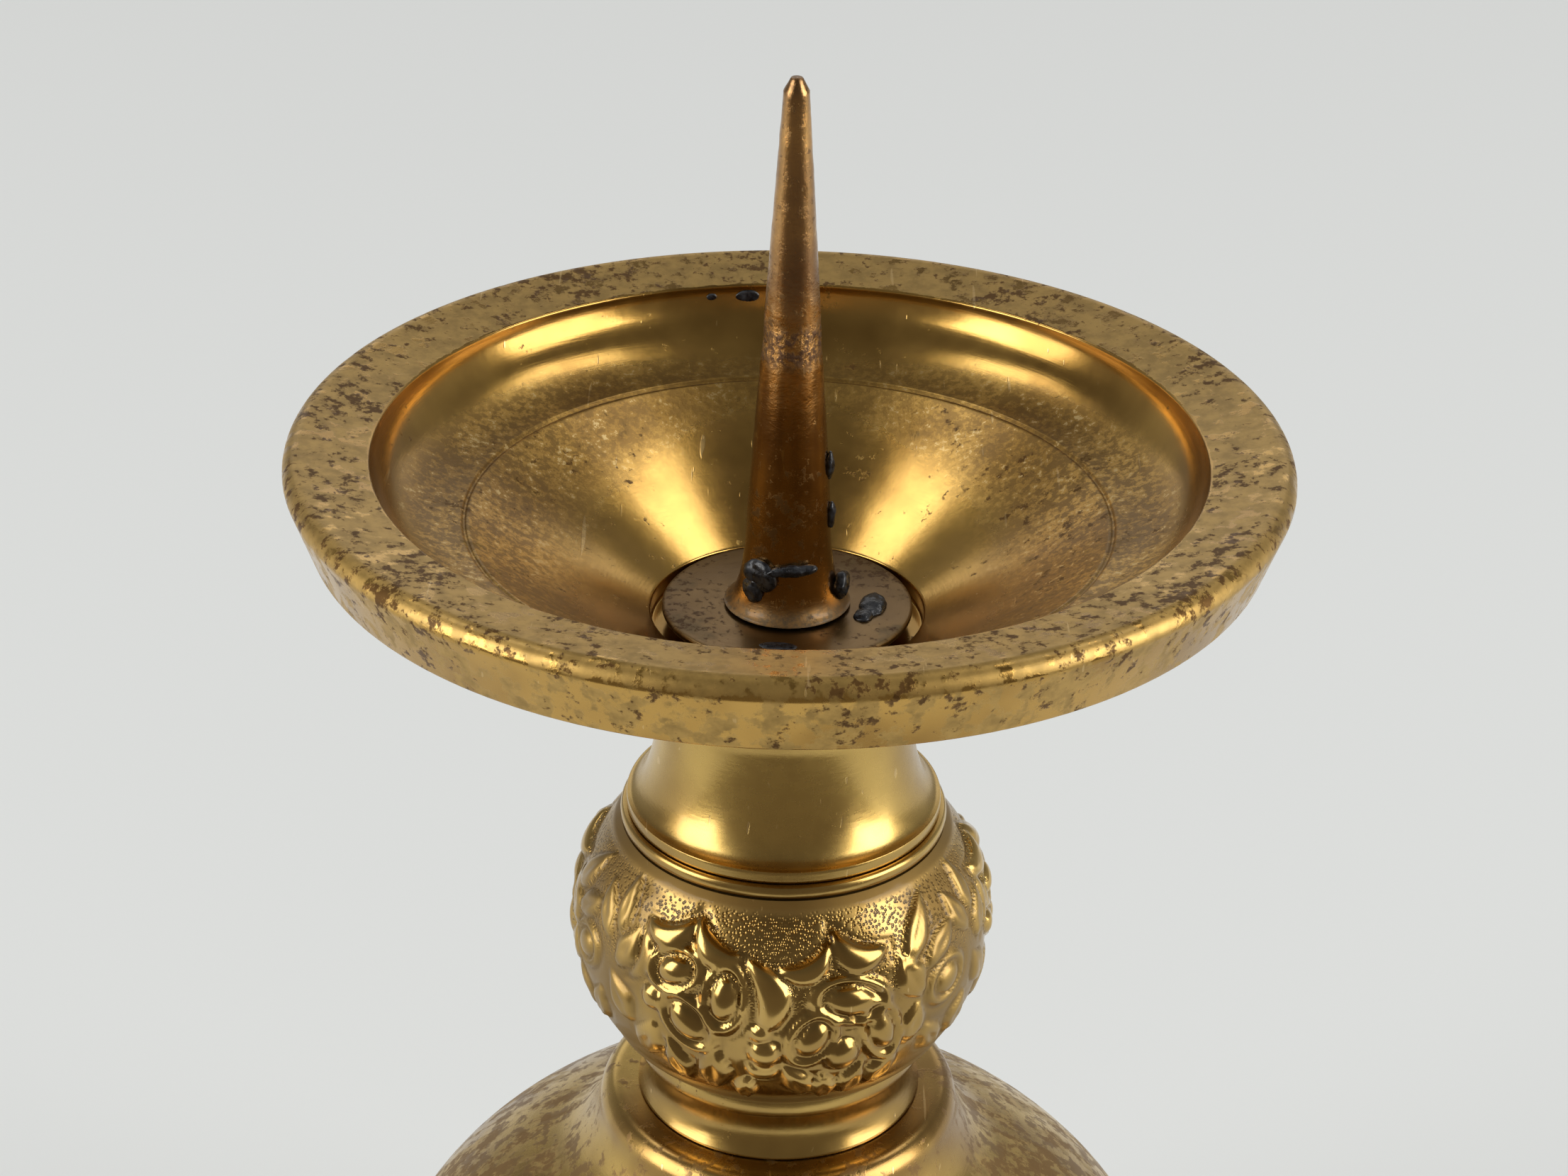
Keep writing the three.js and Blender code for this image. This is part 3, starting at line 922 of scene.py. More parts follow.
LUMPS = (
    Lump("wax_shoulder", Body.SPIKE, -34.0, 2.86, 3.0, (1.25, 0.50, 1.05), 0.2),
    Lump("wax_smear", Body.SPIKE, 4.0, 2.84, 3.55, (1.60, 0.42, 0.40), -0.1),
    Lump("wax_run", Body.SPIKE, -44.0, 3.0, 1.95, (0.80, 0.46, 0.90), 0.1),
    Lump("wax_bead_high", Body.SPIKE, 84.0, 2.42, 9.4, (0.42, 0.30, 0.95), 0.0),
    Lump("wax_bead_low", Body.SPIKE, 80.0, 2.58, 6.2, (0.38, 0.28, 0.85), 0.1),
    Lump("wax_bead_foot", Body.SPIKE, 82.0, 3.25, 1.45, (0.95, 0.6, 0.9), 0.3),
    Lump("wax_drop", Body.DISC, 86.0, 5.25, 0.04, (1.45, 0.85, 0.42), 0.0),
    Lump("wax_drop_small", Body.DISC, 70.0, 4.95, 0.02, (0.8, 0.65, 0.3), 0.0),
    Lump("wax_spot_front", Body.DISC, -5.0, 5.7, 0.0, (1.15, 0.5, 0.10), 0.0),
    Lump("soot_fleck_back", Body.PAN, -173.0, 24.75, 9.75, (0.80, 0.16, 0.42), 0.0),
    Lump("soot_fleck_small", Body.PAN, -167.5, 24.8, 9.8, (0.36, 0.12, 0.24), 0.0),
    Lump("soot_fleck_side", Body.PAN, 124.0, 19.6, 5.72, (0.75, 0.30, 0.10), 0.2),
)


@dataclass
class Pricket(Assembly):
    """The spike on its disc, the ferrule that backs the disc, and the wax that burnt on to them."""

    disc_radius: float = 7.65
    bore: float = 2.3
    foot_radius: float = 3.9
    flare_height: float = 6.0
    shaft_radius: float = 2.55
    tip_radius: float = 0.78
    tip_height: float = 0.8
    tip_flat: float = 0.35
    tail_radius: float = 2.0
    tail_length: float = 7.1
    crust_height: float = 17.2

    def build(self) -> None:
        """Turns the disc, the ferrule and the spike, and adds the wax."""
        self.build_disc()
        self.build_spike()
        self.build_wax()

    def build_disc(self) -> None:
        """Turns the thin disc and the ferrule below it."""
        low, high = bottom_of("pricket_disc"), top_of("pricket_disc")
        radius = self.disc_radius
        outline = [(self.bore, low), (radius - 0.12, low), (radius, low + 0.12), (radius, high - 0.1),
                   (radius - 0.12, high), (self.bore, high)]
        disc = spun("pricket_plate", outline, 128, longest=0.6)
        break_corners(disc, 0.05)
        smooth(disc)
        paint(disc, "wear", lambda azimuth, radius, height: 0.5 + 0.3 * ramp(radius, 4.0, 7.6))
        self.settle(disc, self.finishes.disc, Body.DISC, Slot.HEATED, "pricket_disc")

        low, high = bottom_of("disc_ferrule"), top_of("disc_ferrule")
        ferrule = spun("backing_ferrule", [(2.2, low), (3.4, low), (3.4, high), (2.2, high)], 64)
        break_corners(ferrule, 0.1)
        smooth(ferrule)
        paint(ferrule, "wear", lambda azimuth, radius, height: 0.5)
        self.settle(ferrule, self.finishes.rings, Body.SPIKE, Slot.WORN, "disc_ferrule")

    def build_spike(self) -> None:
        """Turns the spike, roughens it and stains it with heat."""
        base = bottom_of("pricket_spike") + self.tail_length
        tip = top_of("pricket_spike")
        flare = arc(
            (self.foot_radius, base + self.flare_height), self.foot_radius - self.shaft_radius,
            self.flare_height, 270.0, 180.0, 16,
        )
        outline = [
            (0.0, base - self.tail_length), (self.tail_radius, base - self.tail_length),
            (self.tail_radius, base),
            *flare, (self.tip_radius, tip - self.tip_height), (self.tip_flat, tip), (0.0, tip),
        ]
        spike = spun("pricket", outline, 96, longest=0.35, closed=False)
        self.roughen(spike, base)
        break_corners(spike, 0.08, degrees=40.0)
        smooth(spike, 38.0)
        paint(spike, "wear", lambda azimuth, radius, height: 0.55)
        paint(spike, "heat", lambda azimuth, radius, height: self.heat(height - base))
        paint(spike, "crust", lambda azimuth, radius, height: self.crust(height - base))
        paint(spike, "solder", lambda azimuth, radius, height: 1.0 - ramp(height - base, 0.3, 1.3))
        self.settle(spike, self.finishes.spike, Body.SPIKE, Slot.HEATED, "pricket_spike")

    def heat(self, height: float) -> float:
        """How darkly heat has stained the spike at a height above its foot."""
        return 0.10 + 0.90 * ramp(height, 8.0, 20.0)

    def crust(self, height: float) -> float:
        """How crusty the spike is at a height above its foot."""
        band = ramp(height, self.crust_height - 1.6, self.crust_height - 0.4)
        band *= 1.0 - ramp(height, self.crust_height + 0.6, self.crust_height + 2.0)
        return min(1.0, band + 0.18 * ramp(height, 11.0, 14.0))

    def roughen(self, spike: bpy.types.Object, base: float) -> None:
        """Pushes the spike's skin inwards a little, most at the crusty band.

        Args:
            spike: The turned spike.
            base: Height of its foot, in mm.
        """
        group = spike.vertex_groups.new(name="skin")
        for vertex in spike.data.vertices:
            height = vertex.co.z / MM - base
            amount = 0.25 + 0.75 * self.crust(height)
            group.add([vertex.index], amount if height > 0.4 else 0.0, "REPLACE")
        pits = bpy.data.textures.new("skin_pits", "CLOUDS")
        pits.noise_scale = 0.9 * MM
        pits.noise_depth = 3
        push = spike.modifiers.new("rough_skin", "DISPLACE")
        push.texture = pits
        push.texture_coords = "LOCAL"
        push.vertex_group = group.name
        push.direction = "NORMAL"
        push.mid_level = 1.0
        push.strength = 0.17 * MM
        apply_modifiers(spike)

    def build_wax(self) -> None:
        """Adds the lumps of sooty wax on the spike's foot, on the disc and on the pan."""
        seeds = random.Random(7)
        for lump in LUMPS:
            piece = lump.build(top_of("pricket_disc"), seeds.random())
            self.settle(piece, self.finishes.wax, lump.body, Slot.HEATED)


@dataclass
class Neck(Assembly):
    """The flared neck under the pan."""

    foot_radius: float = 9.9
    band_height: float = 0.8
    waist_radius: float = 7.9
    flare_height: float = 7.0
    top_radius: float = 8.4
    web_lift: float = 2.6
    web_thickness: float = 1.6
    socket_radius: float = 6.3
    rod_hole: float = 2.4

    def build(self) -> None:
        """Turns and dresses the neck."""
        low, high = bottom_of("neck"), top_of("neck")
        band_top = low + self.band_height
        waist = band_top + self.flare_height
        flare = arc(
            (self.foot_radius, waist), self.foot_radius - self.waist_radius, self.flare_height,
            270.0, 180.0, 30,
        )
        web_low = low + self.web_lift
        web_high = web_low + self.web_thickness
        outline = [
            (self.socket_radius, low), (self.foot_radius, low), *flare, (self.top_radius, high),
            (self.socket_radius, high), (self.socket_radius, web_high), (self.rod_hole, web_high),
            (self.rod_hole, web_low), (self.socket_radius, web_low),
        ]
        neck = spun("flared_neck", outline, 144, longest=0.7)
        break_corners(neck, 0.10)
        smooth(neck)
        paint(neck, "wear", lambda azimuth, radius, height: 0.35)
        self.settle(neck, self.finishes.neck, Body.STEM, Slot.LACQUERED, "neck")


class Motif(Enum):
    """Kinds of raised ornament on the ball."""

    PETAL = "petal"
    LEAF = "leaf"
    BUD = "bud"
    SCROLL = "scroll"


@dataclass(frozen=True)
class Raised:
    """One raised ornament, placed on the ball's unrolled skin.

    Sideways places are degrees round the ball, heights are mm above its middle, sizes are mm.
    """

    kind: Motif
    azimuth: float
    height: float
    length: float
    width: float
    lean: float = 0.0
    lift: float = 1.0

    def rise(self, across: float, up: float) -> tuple[float, float]:
        """Rise at a place, from 0 to 1, and how deep in the ornament's outline groove it is.

        Args:
            across: Distance sideways from the ornament's middle, in mm.
            up: Distance upward from it, in mm.

        Returns:
            The rise and the groove share.
        """
        lean = math.radians(self.lean)
        along = up * math.cos(lean) + across * math.sin(lean)
        aside = across * math.cos(lean) - up * math.sin(lean)
        if self.kind is Motif.SCROLL:
            aside += 0.45 * (along * along) / self.length - 0.15 * self.length
        share = along / self.length
        if abs(share) > 1.7:
            return 0.0, 0.0
        if self.kind is Motif.LEAF:
            width = self.width * max(0.05, (1.0 - min(1.0, abs(share)) ** 1.6) * (1.0 - 0.35 * share))
            reach = math.sqrt(share ** 4 + (aside / width) ** 2) if abs(share) < 1.0 else 2.0
            if reach >= 1.0:
                return 0.0, max(0.0, 1.0 - (reach - 1.0) / 0.5) if reach < 1.5 else 0.0
            vein = math.exp(-((aside / (0.20 * self.width)) ** 2))
            ribs = 0.5 + 0.5 * math.cos(8.0 * (share + 0.8 * abs(aside) / self.width))
            body = (1.0 - reach ** 2) ** 0.5
            return self.lift * body * (0.95 - 0.30 * vein - 0.13 * ribs), 0.0
        reach = math.hypot(share, aside / self.width)
        if self.kind is Motif.PETAL:
            dome = (1.0 - (reach / 0.70) ** 2) ** 0.5 if reach < 0.70 else 0.0
            ridge = math.exp(-(((reach - 1.02) / 0.17) ** 2)) * 0.66
            groove = math.exp(-(((reach - 0.80) / 0.09) ** 2)) + math.exp(-(((reach - 1.36) / 0.14) ** 2))
            return self.lift * max(dome, ridge), min(1.0, groove)
        if reach >= 1.0:
            return 0.0, math.exp(-(((reach - 1.15) / 0.15) ** 2))
        return self.lift * (1.0 - reach ** 2) ** 0.5, 0.0


@dataclass
class KnopBall(Assembly):
    """The chased ball between its two rings."""

    radius: float = 13.3
    top_radius: float = 10.2
    bottom_radius: float = 9.9
    upper_height: float = 10.6
    lower_height: float = 11.2
    upper_power: float = 2.3
    lower_power: float = 2.15
    wall: float = 1.8
    rod_hole: float = 2.4
    sunk: float = 0.15
    relief: float = 0.56
    spare: float = 0.12
    flank: float = 37.0
    flank_lift: float = 0.62
    panels: int = 3
    top_band: float = 6.9
    bottom_band: float = -6.5
    seat: float = 0.14

    def middle(self) -> float:
        """Height of the ball's widest level, in mm."""
        share = 1.0 - (self.bottom_radius / self.radius) ** self.lower_power
        return bottom_of("knop_ball") + self.lower_height * share ** (1.0 / self.lower_power)

    def side(self, end_radius: float, tall: float, power: float, way: float, steps: int) -> list[Point]:
        """Outline of one side, from the middle to its end.

        Args:
            end_radius: Radius at the end, in mm.
            tall: Height of the full curve, in mm.
            power: How full the curve is.
            way: 1 upward, -1 downward.
            steps: Number of steps.

        Returns:
            Points of radius and height.
        """
        end_share = (1.0 - (end_radius / self.radius) ** power) ** (1.0 / power)
        points = []
        for index in range(steps + 1):
            rise = end_share * math.sin(index / steps * math.pi / 2.0)
            radius = self.radius * (1.0 - rise ** power) ** (1.0 / power)
            points.append((radius, self.middle() + way * tall * rise))
        return points

    def ornaments(self) -> list[Raised]:
        """One panel of the ornament: two open flowers, a centre leaf, and leaves between the panels."""
        petal, leaf, bud, scroll = Motif.PETAL, Motif.LEAF, Motif.BUD, Motif.SCROLL
        return [
            # Left flower
            Raised(petal, -30.0, 3.0, 1.75, 1.30, 66.0),
            Raised(petal, -15.2, 1.9, 2.15, 1.25, 8.0),
            Raised(petal, -25.5, -0.3, 2.05, 1.40, -42.0),
            Raised(bud, -36.5, 0.6, 0.9, 0.8, 0.0, 0.8),
            Raised(scroll, -33.5, 5.0, 1.9, 0.85, 76.0, 0.95),
            Raised(scroll, -19.5, 4.9, 1.9, 0.85, 118.0, 0.95),
            Raised(scroll, -41.0, 3.0, 1.9, 0.6, 8.0, 0.75),
            # Centre leaf
            Raised(scroll, -3.2, 2.3, 2.5, 1.05, -12.0, 1.0),
            Raised(bud, -5.0, -0.3, 0.7, 0.7, 0.0, 0.7),
            Raised(bud, -4.0, -1.8, 1.1, 0.95, -12.0, 1.0),
            Raised(bud, -4.6, -3.3, 0.8, 1.0, 0.0, 0.8),
            # Right flower
            Raised(petal, 19.5, 1.8, 2.3, 1.40, 104.0),
            Raised(petal, 8.8, -0.7, 1.9, 1.30, 24.0),
            Raised(petal, 28.5, -0.8, 2.3, 1.15, -16.0),
            Raised(bud, 17.2, -2.2, 1.25, 1.1, 0.0, 1.0),
            Raised(scroll, 8.0, 4.2, 1.9, 0.8, 66.0, 0.95),
            Raised(scroll, 22.0, 4.6, 2.0, 0.95, 112.0, 1.0),
            # Leaves along the foot of the panel
            Raised(leaf, -39.0, -2.9, 2.1, 1.10, 22.0),
            Raised(leaf, -29.5, -3.9, 2.0, 1.00, -16.0),
            Raised(leaf, -18.5, -3.7, 2.4, 1.15, 6.0),
            Raised(leaf, 5.5, -4.4, 1.8, 0.95, -30.0),
            Raised(leaf, 13.0, -5.0, 1.5, 0.95, -8.0),
            Raised(leaf, 21.5, -4.7, 1.8, 0.95, 16.0),
            Raised(leaf, 30.5, -4.2, 2.0, 1.00, 30.0),
            Raised(leaf, -9.5, -5.2, 1.3, 0.85, 10.0),
            # Leaves between the panels
            Raised(leaf, -49.0, -0.8, 1.9, 1.10, -30.0),
            Raised(leaf, -47.0, 3.0, 2.0, 0.95, 24.0),
            Raised(leaf, -52.0, 5.4, 2.2, 0.75, -4.0),
            Raised(leaf, -59.5, 4.4, 2.1, 0.85, -28.0),
            Raised(leaf, 38.0, 2.3, 2.2, 1.15, -26.0),
            Raised(leaf, 43.0, 4.8, 2.7, 0.95, 38.0),
            Raised(leaf, 51.0, 3.4, 2.2, 0.9, 55.0),
            Raised(leaf, 39.0, -1.2, 1.7, 1.0, 14.0),
            Raised(petal, 52.0, 0.7, 1.6, 1.3, 60.0),
            Raised(leaf, 47.0, -3.2, 1.9, 1.0, -34.0),
            Raised(leaf, 59.0, -2.8, 1.8, 1.0, 20.0),
        ]

    def off_panel(self, azimuth: float) -> float:
        """Degrees from the middle of the nearest panel of ornament."""
        pitch = 360.0 / self.panels
        return abs((azimuth + pitch / 2.0) % pitch - pitch / 2.0)

    def skin(self, azimuth: float, height: float, panel: list[Raised]) -> tuple[float, float]:
        """Rise and groove of the ornament at a place.

        Args:
            azimuth: Degrees round the ball.
            height: Height above its middle, in mm.
            panel: One panel of ornaments.

        Returns:
            Rise and groove, each from 0 to 1.
        """
        pitch = 360.0 / self.panels
        local = (azimuth + pitch / 2.0) % pitch - pitch / 2.0
        highest, deepest = 0.0, 0.0
        for ornament in panel:
            turn = (local - ornament.azimuth + pitch / 2.0) % pitch - pitch / 2.0
            up = height - ornament.height
            reach = 1.75 * max(ornament.length, ornament.width)
            across = math.radians(turn) * self.radius * 0.97
            if abs(up) > reach or abs(across) > reach:
                continue
            rise, groove = ornament.rise(across, up)
            highest = max(highest, rise * (self.flank_lift if abs(ornament.azimuth) > self.flank else 1.0))
            deepest = max(deepest, groove)
        return highest, deepest

    def build(self) -> None:
        """Turns the ball, raises its ornament and turns the rings."""
        inside = self.radius - self.wall
        low, high, middle = bottom_of("knop_ball"), top_of("knop_ball"), self.middle()
        lower = self.side(self.bottom_radius, self.lower_height, self.lower_power, -1.0, 72)
        upper = self.side(self.top_radius, self.upper_height, self.upper_power, 1.0, 68)
        outline = [
            *lower[::-1], *upper[1:],
            (self.rod_hole, high), (self.rod_hole, high - self.wall),
            (self.top_radius - self.wall, high - self.wall),
            (inside, middle + self.upper_height / 4.0), (inside, middle - self.lower_height / 4.0),
            (self.bottom_radius - self.wall, low + self.wall),
            (self.rod_hole, low + self.wall), (self.rod_hole, low),
        ]
        ball = spun("chased_ball", outline, 396, longest=8.0)
        self.raise_ornament(ball, middle)
        smooth(ball, 70.0)
        self.settle(ball, self.finishes.ball, Body.STEM, Slot.POLISHED, "knop_ball")
        self.build_ring("upper_ball_ring", "ball_top_ring", 10.3)
        self.build_ring("lower_ball_ring", "ball_foot_ring", 9.5)

    def raise_ornament(self, ball: bpy.types.Object, middle: float) -> None:
        """Sinks the ornament's ground and raises its leaves and petals.

        Args:
            ball: The turned ball.
            middle: Height of its widest level, in mm.
        """
        panel = self.ornaments()
        heights = ball.vertex_groups.new(name="relief")
        ground = [0.0] * len(ball.data.vertices)
        recess = list(ground)
        satin = [1.0] * len(ground)
        lowest = self.radius - self.wall + 0.2
        deepest = self.sunk
        for vertex in ball.data.vertices:
            x, y, z = vertex.co
            radius = math.hypot(x, y) / MM
            height = z / MM - middle
            amount = deepest
            if radius > self.bottom_radius - 0.3 and (radius > lowest or abs(height) > 4.5):
                field_share = ramp(height, self.bottom_band - 0.25, self.bottom_band + 0.25)
                field_share *= 1.0 - ramp(height, self.top_band - 0.25, self.top_band + 0.25)
                rise, groove = self.skin(math.degrees(math.atan2(x, -y)), height, panel)
                rise_over = rise * self.relief - deepest - 0.10 * groove * (1.0 - rise)
                amount = deepest + field_share * rise_over
                plain = 1.0 - ramp(rise, 0.05, 0.2)
                flank = ramp(self.off_panel(math.degrees(math.atan2(x, -y))), 36.0, 48.0)
                satin[vertex.index] = max(1.0 - field_share, 0.8 * flank * (1.0 - 0.5 * rise))
                ground[vertex.index] = field_share * plain * ramp(height, 0.5, 3.5)
                # The recess share says where painted shade darkens the grooves and the sunk ground.
                recess[vertex.index] = field_share * max(0.75 * groove * (1.0 - rise), 0.4 * plain)
            share = (amount + self.spare) / (self.relief + self.spare)
            heights.add([vertex.index], min(1.0, max(0.0, share)), "REPLACE")
        self.draw_in(ball, (self.sunk + self.spare) * MM)
        push = ball.modifiers.new("relief", "DISPLACE")
        push.vertex_group = heights.name
        push.direction = "NORMAL"
        push.mid_level = 0.0
        push.strength = (self.relief + self.spare) * MM
        soften = ball.modifiers.new("worn_smooth", "SMOOTH")
        soften.factor = 0.5
        soften.iterations = 2
        apply_modifiers(ball)
        store(ball, "ground", ground)
        store(ball, "recess", recess)
        store(ball, "satin", satin)
        store(ball, "wear", [0.25] * len(ground))

    def draw_in(self, ball: bpy.types.Object, amount: float) -> None:
        """Draws the whole skin in along its normals, so that the plain bands end at their size.

        Args:
            ball: The ball.
            amount: Distance in metres.
        """
        pull = ball.modifiers.new("draw_in", "DISPLACE")
        pull.direction = "NORMAL"
        pull.mid_level = 0.0
        pull.strength = -amount
        apply_modifiers(ball)

    def build_ring(self, node: str, name: str, radius: float) -> None:
        """Turns one of the ball's rings.

        Args:
            node: The frame's ring.
            name: Name of the piece.
            radius: Its outer radius, in mm.
        """
        low, high = bottom_of(node) - self.seat, top_of(node) + self.seat
        centre = (radius - 0.22, (low + high) / 2.0)
        bead = arc(centre, 0.22, (high - low) / 2.0, -90.0, 90.0, 8)
        outline = [(self.rod_hole, low), *bead, (self.rod_hole, high)]
        ring = spun(name, outline, 144)
        smooth(ring, 50.0)
        paint(ring, "wear", lambda azimuth, spot, height: 0.45)
        self.settle(ring, self.finishes.rings, Body.STEM, Slot.POLISHED, node)


@dataclass
class Stem(Assembly):
    """The collar, the bulb, the waist ring and the flared foot."""

    rod_hole: float = 2.4
    bulb_radius: float = 28.0
    bulb_upper: float = 20.5
    bulb_lower: float = 15.2
    bulb_bottom: float = 14.6
    join_radius: float = 16.0
    throat_radius: float = 8.0
    bulb_wall: float = 1.8
    lip_width: float = 1.35
    lip_tall: float = 1.7
    collar_top: float = 9.1
    collar_waist: float = 8.75
    collar_foot: float = 9.3
    foot_radius: float = 25.0
    foot_edge: float = 2.2
    foot_top: float = 14.0
    foot_web: float = 2.6
    foot_ring: float = 2.4
    seat: float = 0.14

    def build(self) -> None:
        """Turns and dresses the pieces from the collar down."""
        self.build_collar()
        self.build_bulb()
        self.build_waist_ring()
        self.build_foot()

    def build_collar(self) -> None:
        """Turns the hollow-sided collar."""
        low, high = bottom_of("collar") - self.seat, top_of("collar")
        depth = (self.collar_top + self.collar_foot) / 2.0 - self.collar_waist
        hollow = []
        for index in range(17):
            share = index / 16.0
            edge = self.collar_foot + (self.collar_top - self.collar_foot) * share
            hollow.append((edge - depth * math.sin(share * math.pi), low + (high - low) * share))
        collar = spun("hollow_collar", [*hollow, (self.rod_hole, high), (self.rod_hole, low)], 144)
        break_corners(collar, 0.12)
        smooth(collar)
        paint(collar, "wear", lambda azimuth, radius, height: 0.2)
        self.settle(collar, self.finishes.rings, Body.STEM, Slot.POLISHED, "collar")

    def build_bulb(self) -> None:
        """Turns the bulb with its tangent throat."""
        low, high = bottom_of("bulb_body"), top_of("bulb_body")
        rise = math.sqrt(1.0 - (self.bulb_bottom / self.bulb_radius) ** 2)
        middle = low + self.bulb_lower * rise
        start = math.degrees(math.acos(self.join_radius / self.bulb_radius))
        end = math.degrees(math.acos(self.bulb_bottom / self.bulb_radius))
        underside = arc((0.0, middle), self.bulb_radius, self.bulb_lower, -end, 0.0, 30)
        shoulder = arc((0.0, middle), self.bulb_radius, self.bulb_upper, 0.0, start, 34)
        slope = (self.bulb_upper / self.bulb_radius) / math.tan(math.radians(start))
        lean = math.atan(slope)
        join = shoulder[-1][1]
        centre = (
            self.join_radius + self.throat_radius * math.sin(lean),
            join + self.throat_radius * math.cos(lean),
        )
        top_share = max(-1.0, min(1.0, (high - centre[1]) / self.throat_radius))
        throat = arc(
            centre, self.throat_radius, self.throat_radius, 270.0 - math.degrees(lean),
            180.0 - math.degrees(math.asin(top_share)), 20,
        )
        inner = self.bulb_radius - self.bulb_wall
        inner_end = math.degrees(math.acos((self.bulb_bottom - self.bulb_wall) / inner))
        upper = arc((0.0, middle), inner, self.bulb_upper - self.bulb_wall, 62.0, 0.0, 12)
        lower = arc((0.0, middle), inner, self.bulb_lower, 0.0, -inner_end, 12)
        throat = [spot for spot in throat if spot[1] < high - self.lip_tall]
        lip = throat[-1][0]
        lip_centre = (lip - self.lip_width, high - self.lip_tall)
        rounded_lip = arc(lip_centre, self.lip_width, self.lip_tall, 12.0, 90.0, 9)
        throat_inside = min(lip, self.collar_foot) - 2.0 * self.bulb_wall
        outline = [
            *underside, *shoulder[1:], *throat[1:],
            *rounded_lip,
            (self.rod_hole, high), (self.rod_hole, high - self.bulb_wall),
            (throat_inside, high - self.bulb_wall),
            *upper, *lower[1:-1], (self.bulb_bottom - self.bulb_wall, low),
        ]
        bulb = spun("turned_bulb", outline, 192, longest=1.2)
        break_corners(bulb, 0.14)
        smooth(bulb)
        paint(bulb, "wear", lambda azimuth, radius, height: 0.10 + 0.70 * ramp(radius, 11.4, 14.2))
        self.settle(bulb, self.finishes.bulb, Body.STEM, Slot.WORN, "bulb_body")

    def build_waist_ring(self) -> None:
        """Turns the half-round ring between the bulb and the foot."""
        low, high = bottom_of("waist_ring"), top_of("waist_ring")
        centre = (self.foot_top, (low + high) / 2.0)
        bead = arc(centre, 1.4, (high - low) / 2.0, -90.0, 90.0, 18)
        ring = spun("waist_bead", [*bead, (self.rod_hole, high), (self.rod_hole, low)], 144)
        smooth(ring, 50.0)
        paint(ring, "wear", lambda azimuth, radius, height: 0.4)
        self.settle(ring, self.finishes.rings, Body.STEM, Slot.LACQUERED, "waist_ring")

    def build_foot(self) -> None:
        """Turns the hollow flared foot."""
        high = top_of("foot")
        web = high - self.foot_web
        corner = (self.foot_radius - 1.0, high - 1.0)
        inside = self.foot_radius - self.foot_ring
        wall = 1.8
        outline = [
            (self.rod_hole, web), (self.rod_hole, high), (self.foot_top, high),
            *arc(corner, corner[0] - self.foot_top, corner[1] - self.foot_edge, 180.0, 270.0, 28),
            (self.foot_radius, self.foot_edge), (self.foot_radius, 0.0), (inside, 0.0),
            (inside, self.foot_edge - wall + 1.0), (self.foot_top + wall, self.foot_edge + wall),
            (self.foot_top - wall, web),
        ]
        foot = spun("flared_foot", outline, 192, longest=1.2)
        break_corners(foot, 0.22)
        smooth(foot)
        paint(foot, "wear", lambda azimuth, radius, height: 0.5 + 0.3 * ramp(radius, 20.0, 25.0))
        self.settle(foot, self.finishes.bulb, Body.STEM, Slot.WORN, "foot")


@dataclass
class Fastening(Assembly):
    """The tie rod, washer and nut that hold the stem together, which keep the frame's own shapes."""

    def build(self) -> None:
        """Dresses the frame's rod, washer and nut in steel."""
        for name in ("tie_rod", "rod_washer", "rod_nut"):
            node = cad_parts[name]
            if not node.material_slots:
                node.data.materials.append(self.finishes.steel)
            for slot in node.material_slots:
                slot.material = self.finishes.steel
            self.pieces.append(node)


# ---- Studio --------------------------------------------------------------------------------


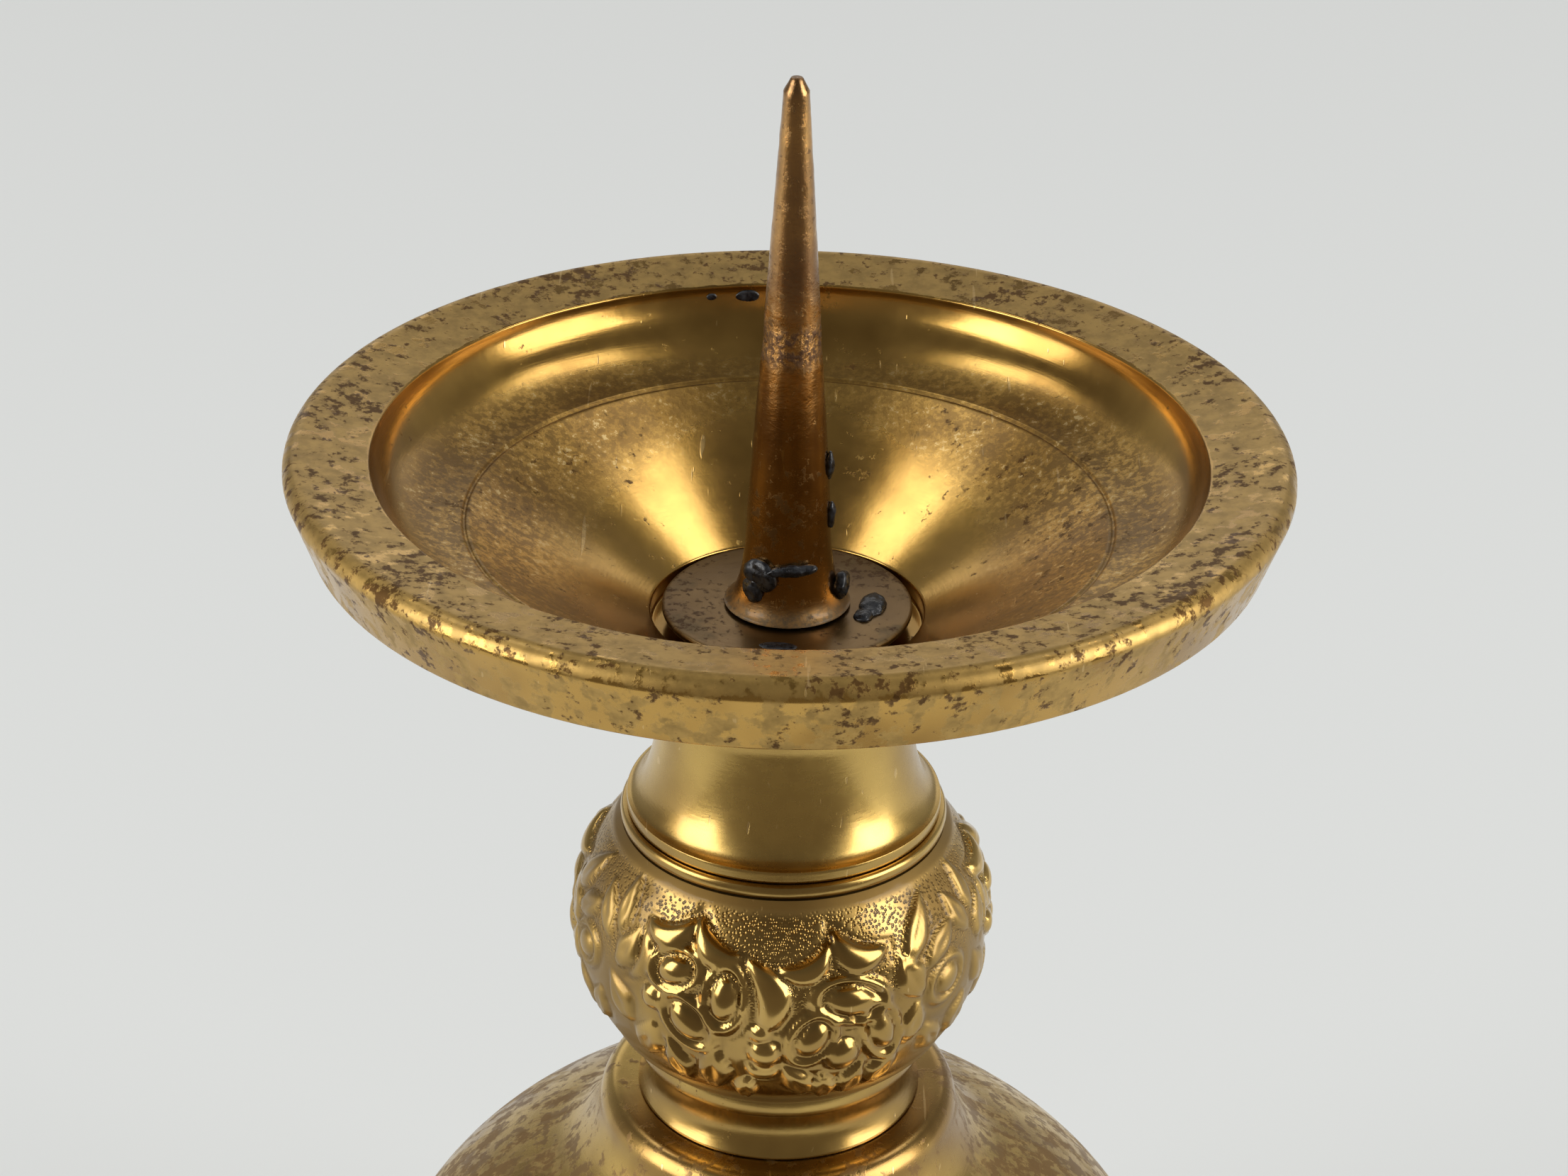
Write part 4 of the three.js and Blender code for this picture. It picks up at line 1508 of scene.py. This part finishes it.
@dataclass
class Studio:
    """The pale floor, the soft lights and the camera."""

    floor_size: float = 6.0
    floor_tone: float = 0.50
    floor_glow: float = 0.335
    floor_front: float = 0.10
    camera_back: float = 0.1738
    camera_up: float = 0.1796
    pitch: float = 27.99
    yaw: float = -0.07
    roll: float = 1.03
    lens: float = 74.1
    light_aim: float = 0.08

    def build(self) -> None:
        """Sets up everything round the object."""
        self.clear()
        self.build_floor()
        self.build_lights()
        self.build_world()
        self.build_camera()

    def clear(self) -> None:
        """Removes what a new file starts with."""
        for name in ("Cube", "Light", "Camera"):
            if name in bpy.data.objects:
                bpy.data.objects.remove(bpy.data.objects[name])

    def build_floor(self) -> None:
        """Lays the floor in two sheets; the front one, where the room is dim, doesn't show in the metal."""
        paper = self.floor_paper()
        for name, way in (("studio_floor", 1.0), ("studio_floor_front", -1.0)):
            deselect_all()
            middle = way * self.floor_size / 2.0 - self.floor_front
            bpy.ops.mesh.primitive_plane_add(size=self.floor_size, location=(0.0, middle, 0.0))
            floor = bpy.context.object
            floor.name = name
            bpy.ops.object.transform_apply(location=True)
            floor.visible_glossy = way > 0.0
            floor.data.materials.append(paper)

    def floor_paper(self) -> bpy.types.Material:
        """Builds the floor's material, with a faint mottle."""
        material = bpy.data.materials.new("floor_paper")
        material.use_nodes = True
        graph = Graph(material.node_tree)
        place = graph.add("TexCoord").outputs["Object"]
        mottle = graph.add("TexNoise", {"Vector": place, "Scale": 7.0, "Detail": 2.0}).outputs[0]
        tone = self.floor_tone
        low_tone = (tone * 0.97, tone, tone * 0.985)
        colour = graph.blend(mottle, low_tone, (tone, tone * 1.03, tone * 1.015))
        shader = graph.add("BsdfPrincipled", {
            "Base Color": colour, "Roughness": 0.9,
            "Emission Color": (0.985, 1.0, 0.985, 1.0), "Emission Strength": self.floor_glow,
        })
        graph.add("OutputMaterial", {"Surface": shader.outputs[0]})
        return material

    def add_light(
        self, name: str, azimuth: float, elevation: float, distance: float, size: Point, power: float,
    ) -> None:
        """Hangs one soft rectangular light that looks at the pan.

        Args:
            name: Name of the light.
            azimuth: Degrees from the camera's side, to the right.
            elevation: Degrees above the pan.
            distance: Metres from the pan.
            size: Width and height in metres.
            power: Watts.
        """
        turn, rise = math.radians(azimuth), math.radians(elevation)
        way = Vector((math.sin(turn) * math.cos(rise), -math.cos(turn) * math.cos(rise), math.sin(rise)))
        light = bpy.data.lights.new(name, "AREA")
        light.shape = "RECTANGLE"
        light.size, light.size_y = size
        light.energy = power
        lamp = bpy.data.objects.new(name, light)
        lamp.location = Vector((0.0, 0.0, self.light_aim)) + way * distance
        lamp.rotation_euler = way.to_track_quat("Z", "Y").to_euler()
        bpy.context.scene.collection.objects.link(lamp)

    def build_lights(self) -> None:
        """Hangs a window-like light on each side, two small ones above and a broad one behind."""
        self.add_light("window_left", -69.0, 18.0, 0.9, (0.56, 0.70), 5.8)
        self.add_light("window_right", 72.0, 18.0, 0.9, (0.54, 0.70), 6.3)
        self.add_light("ceiling_left", -122.0, 58.0, 1.2, (0.34, 0.34), 1.2)
        self.add_light("ceiling_right", 122.0, 58.0, 1.2, (0.34, 0.34), 1.2)
        self.add_light("back_wall", 180.0, 24.0, 1.6, (1.8, 0.5), 2.2)

    def build_world(self) -> None:
        """Makes the room: dim in front, pale behind, plain pale past the floor."""
        world = bpy.data.worlds.new("studio")
        bpy.context.scene.world = world
        world.use_nodes = True
        graph = Graph(world.node_tree)
        way = graph.add("SeparateXYZ", {0: graph.add("TexCoord").outputs["Generated"]})
        back = graph.fit(way.outputs[1], -0.35, 0.75)
        up = graph.fit(way.outputs[2], 0.0, 0.8)
        room = graph.blend(back, (0.18, 0.155, 0.13), (0.36, 0.36, 0.35))
        room = graph.blend(graph.times(up, 0.7), room, (0.11, 0.105, 0.10))
        seen = graph.add("LightPath").outputs["Is Camera Ray"]
        colour = graph.blend(seen, room, (0.66, 0.68, 0.66))
        background = graph.add("Background", {"Color": colour, "Strength": 1.0})
        graph.add("OutputWorld", {"Surface": background.outputs[0]})

    def build_camera(self) -> None:
        """Places the camera, looking down on the pan from the front."""
        pitch, yaw, roll = math.radians(self.pitch), math.radians(self.yaw), math.radians(self.roll)
        ahead = Vector((math.sin(yaw) * math.cos(pitch), math.cos(yaw) * math.cos(pitch), -math.sin(pitch)))
        level = Vector((math.cos(yaw), -math.sin(yaw), 0.0))
        upright = level.cross(ahead)
        right = math.cos(roll) * level + math.sin(roll) * upright
        above = -math.sin(roll) * level + math.cos(roll) * upright
        data = bpy.data.cameras.new("camera")
        data.sensor_width = 36.0
        data.lens = self.lens
        data.clip_start = 0.01
        data.clip_end = 20.0
        camera = bpy.data.objects.new("camera", data)
        turn = Matrix((right, above, -ahead)).transposed()
        camera.matrix_world = Matrix.Translation((0.0, -self.camera_back, self.camera_up)) @ turn.to_4x4()
        bpy.context.scene.collection.objects.link(camera)
        bpy.context.scene.camera = camera
        bpy.context.scene.view_settings.view_transform = "Standard"


def main() -> None:
    """Builds every sub-assembly in order and reports its pieces."""
    logging.basicConfig(level=logging.INFO, format="%(name)s %(message)s")
    Studio().build()
    finishes = Finishes()
    for assembly in (DripPan, Pricket, Neck, KnopBall, Stem, Fastening):
        unit = assembly(finishes)
        unit.build()
        unit.report()
    deselect_all()


if __name__ == "__main__":
    main()
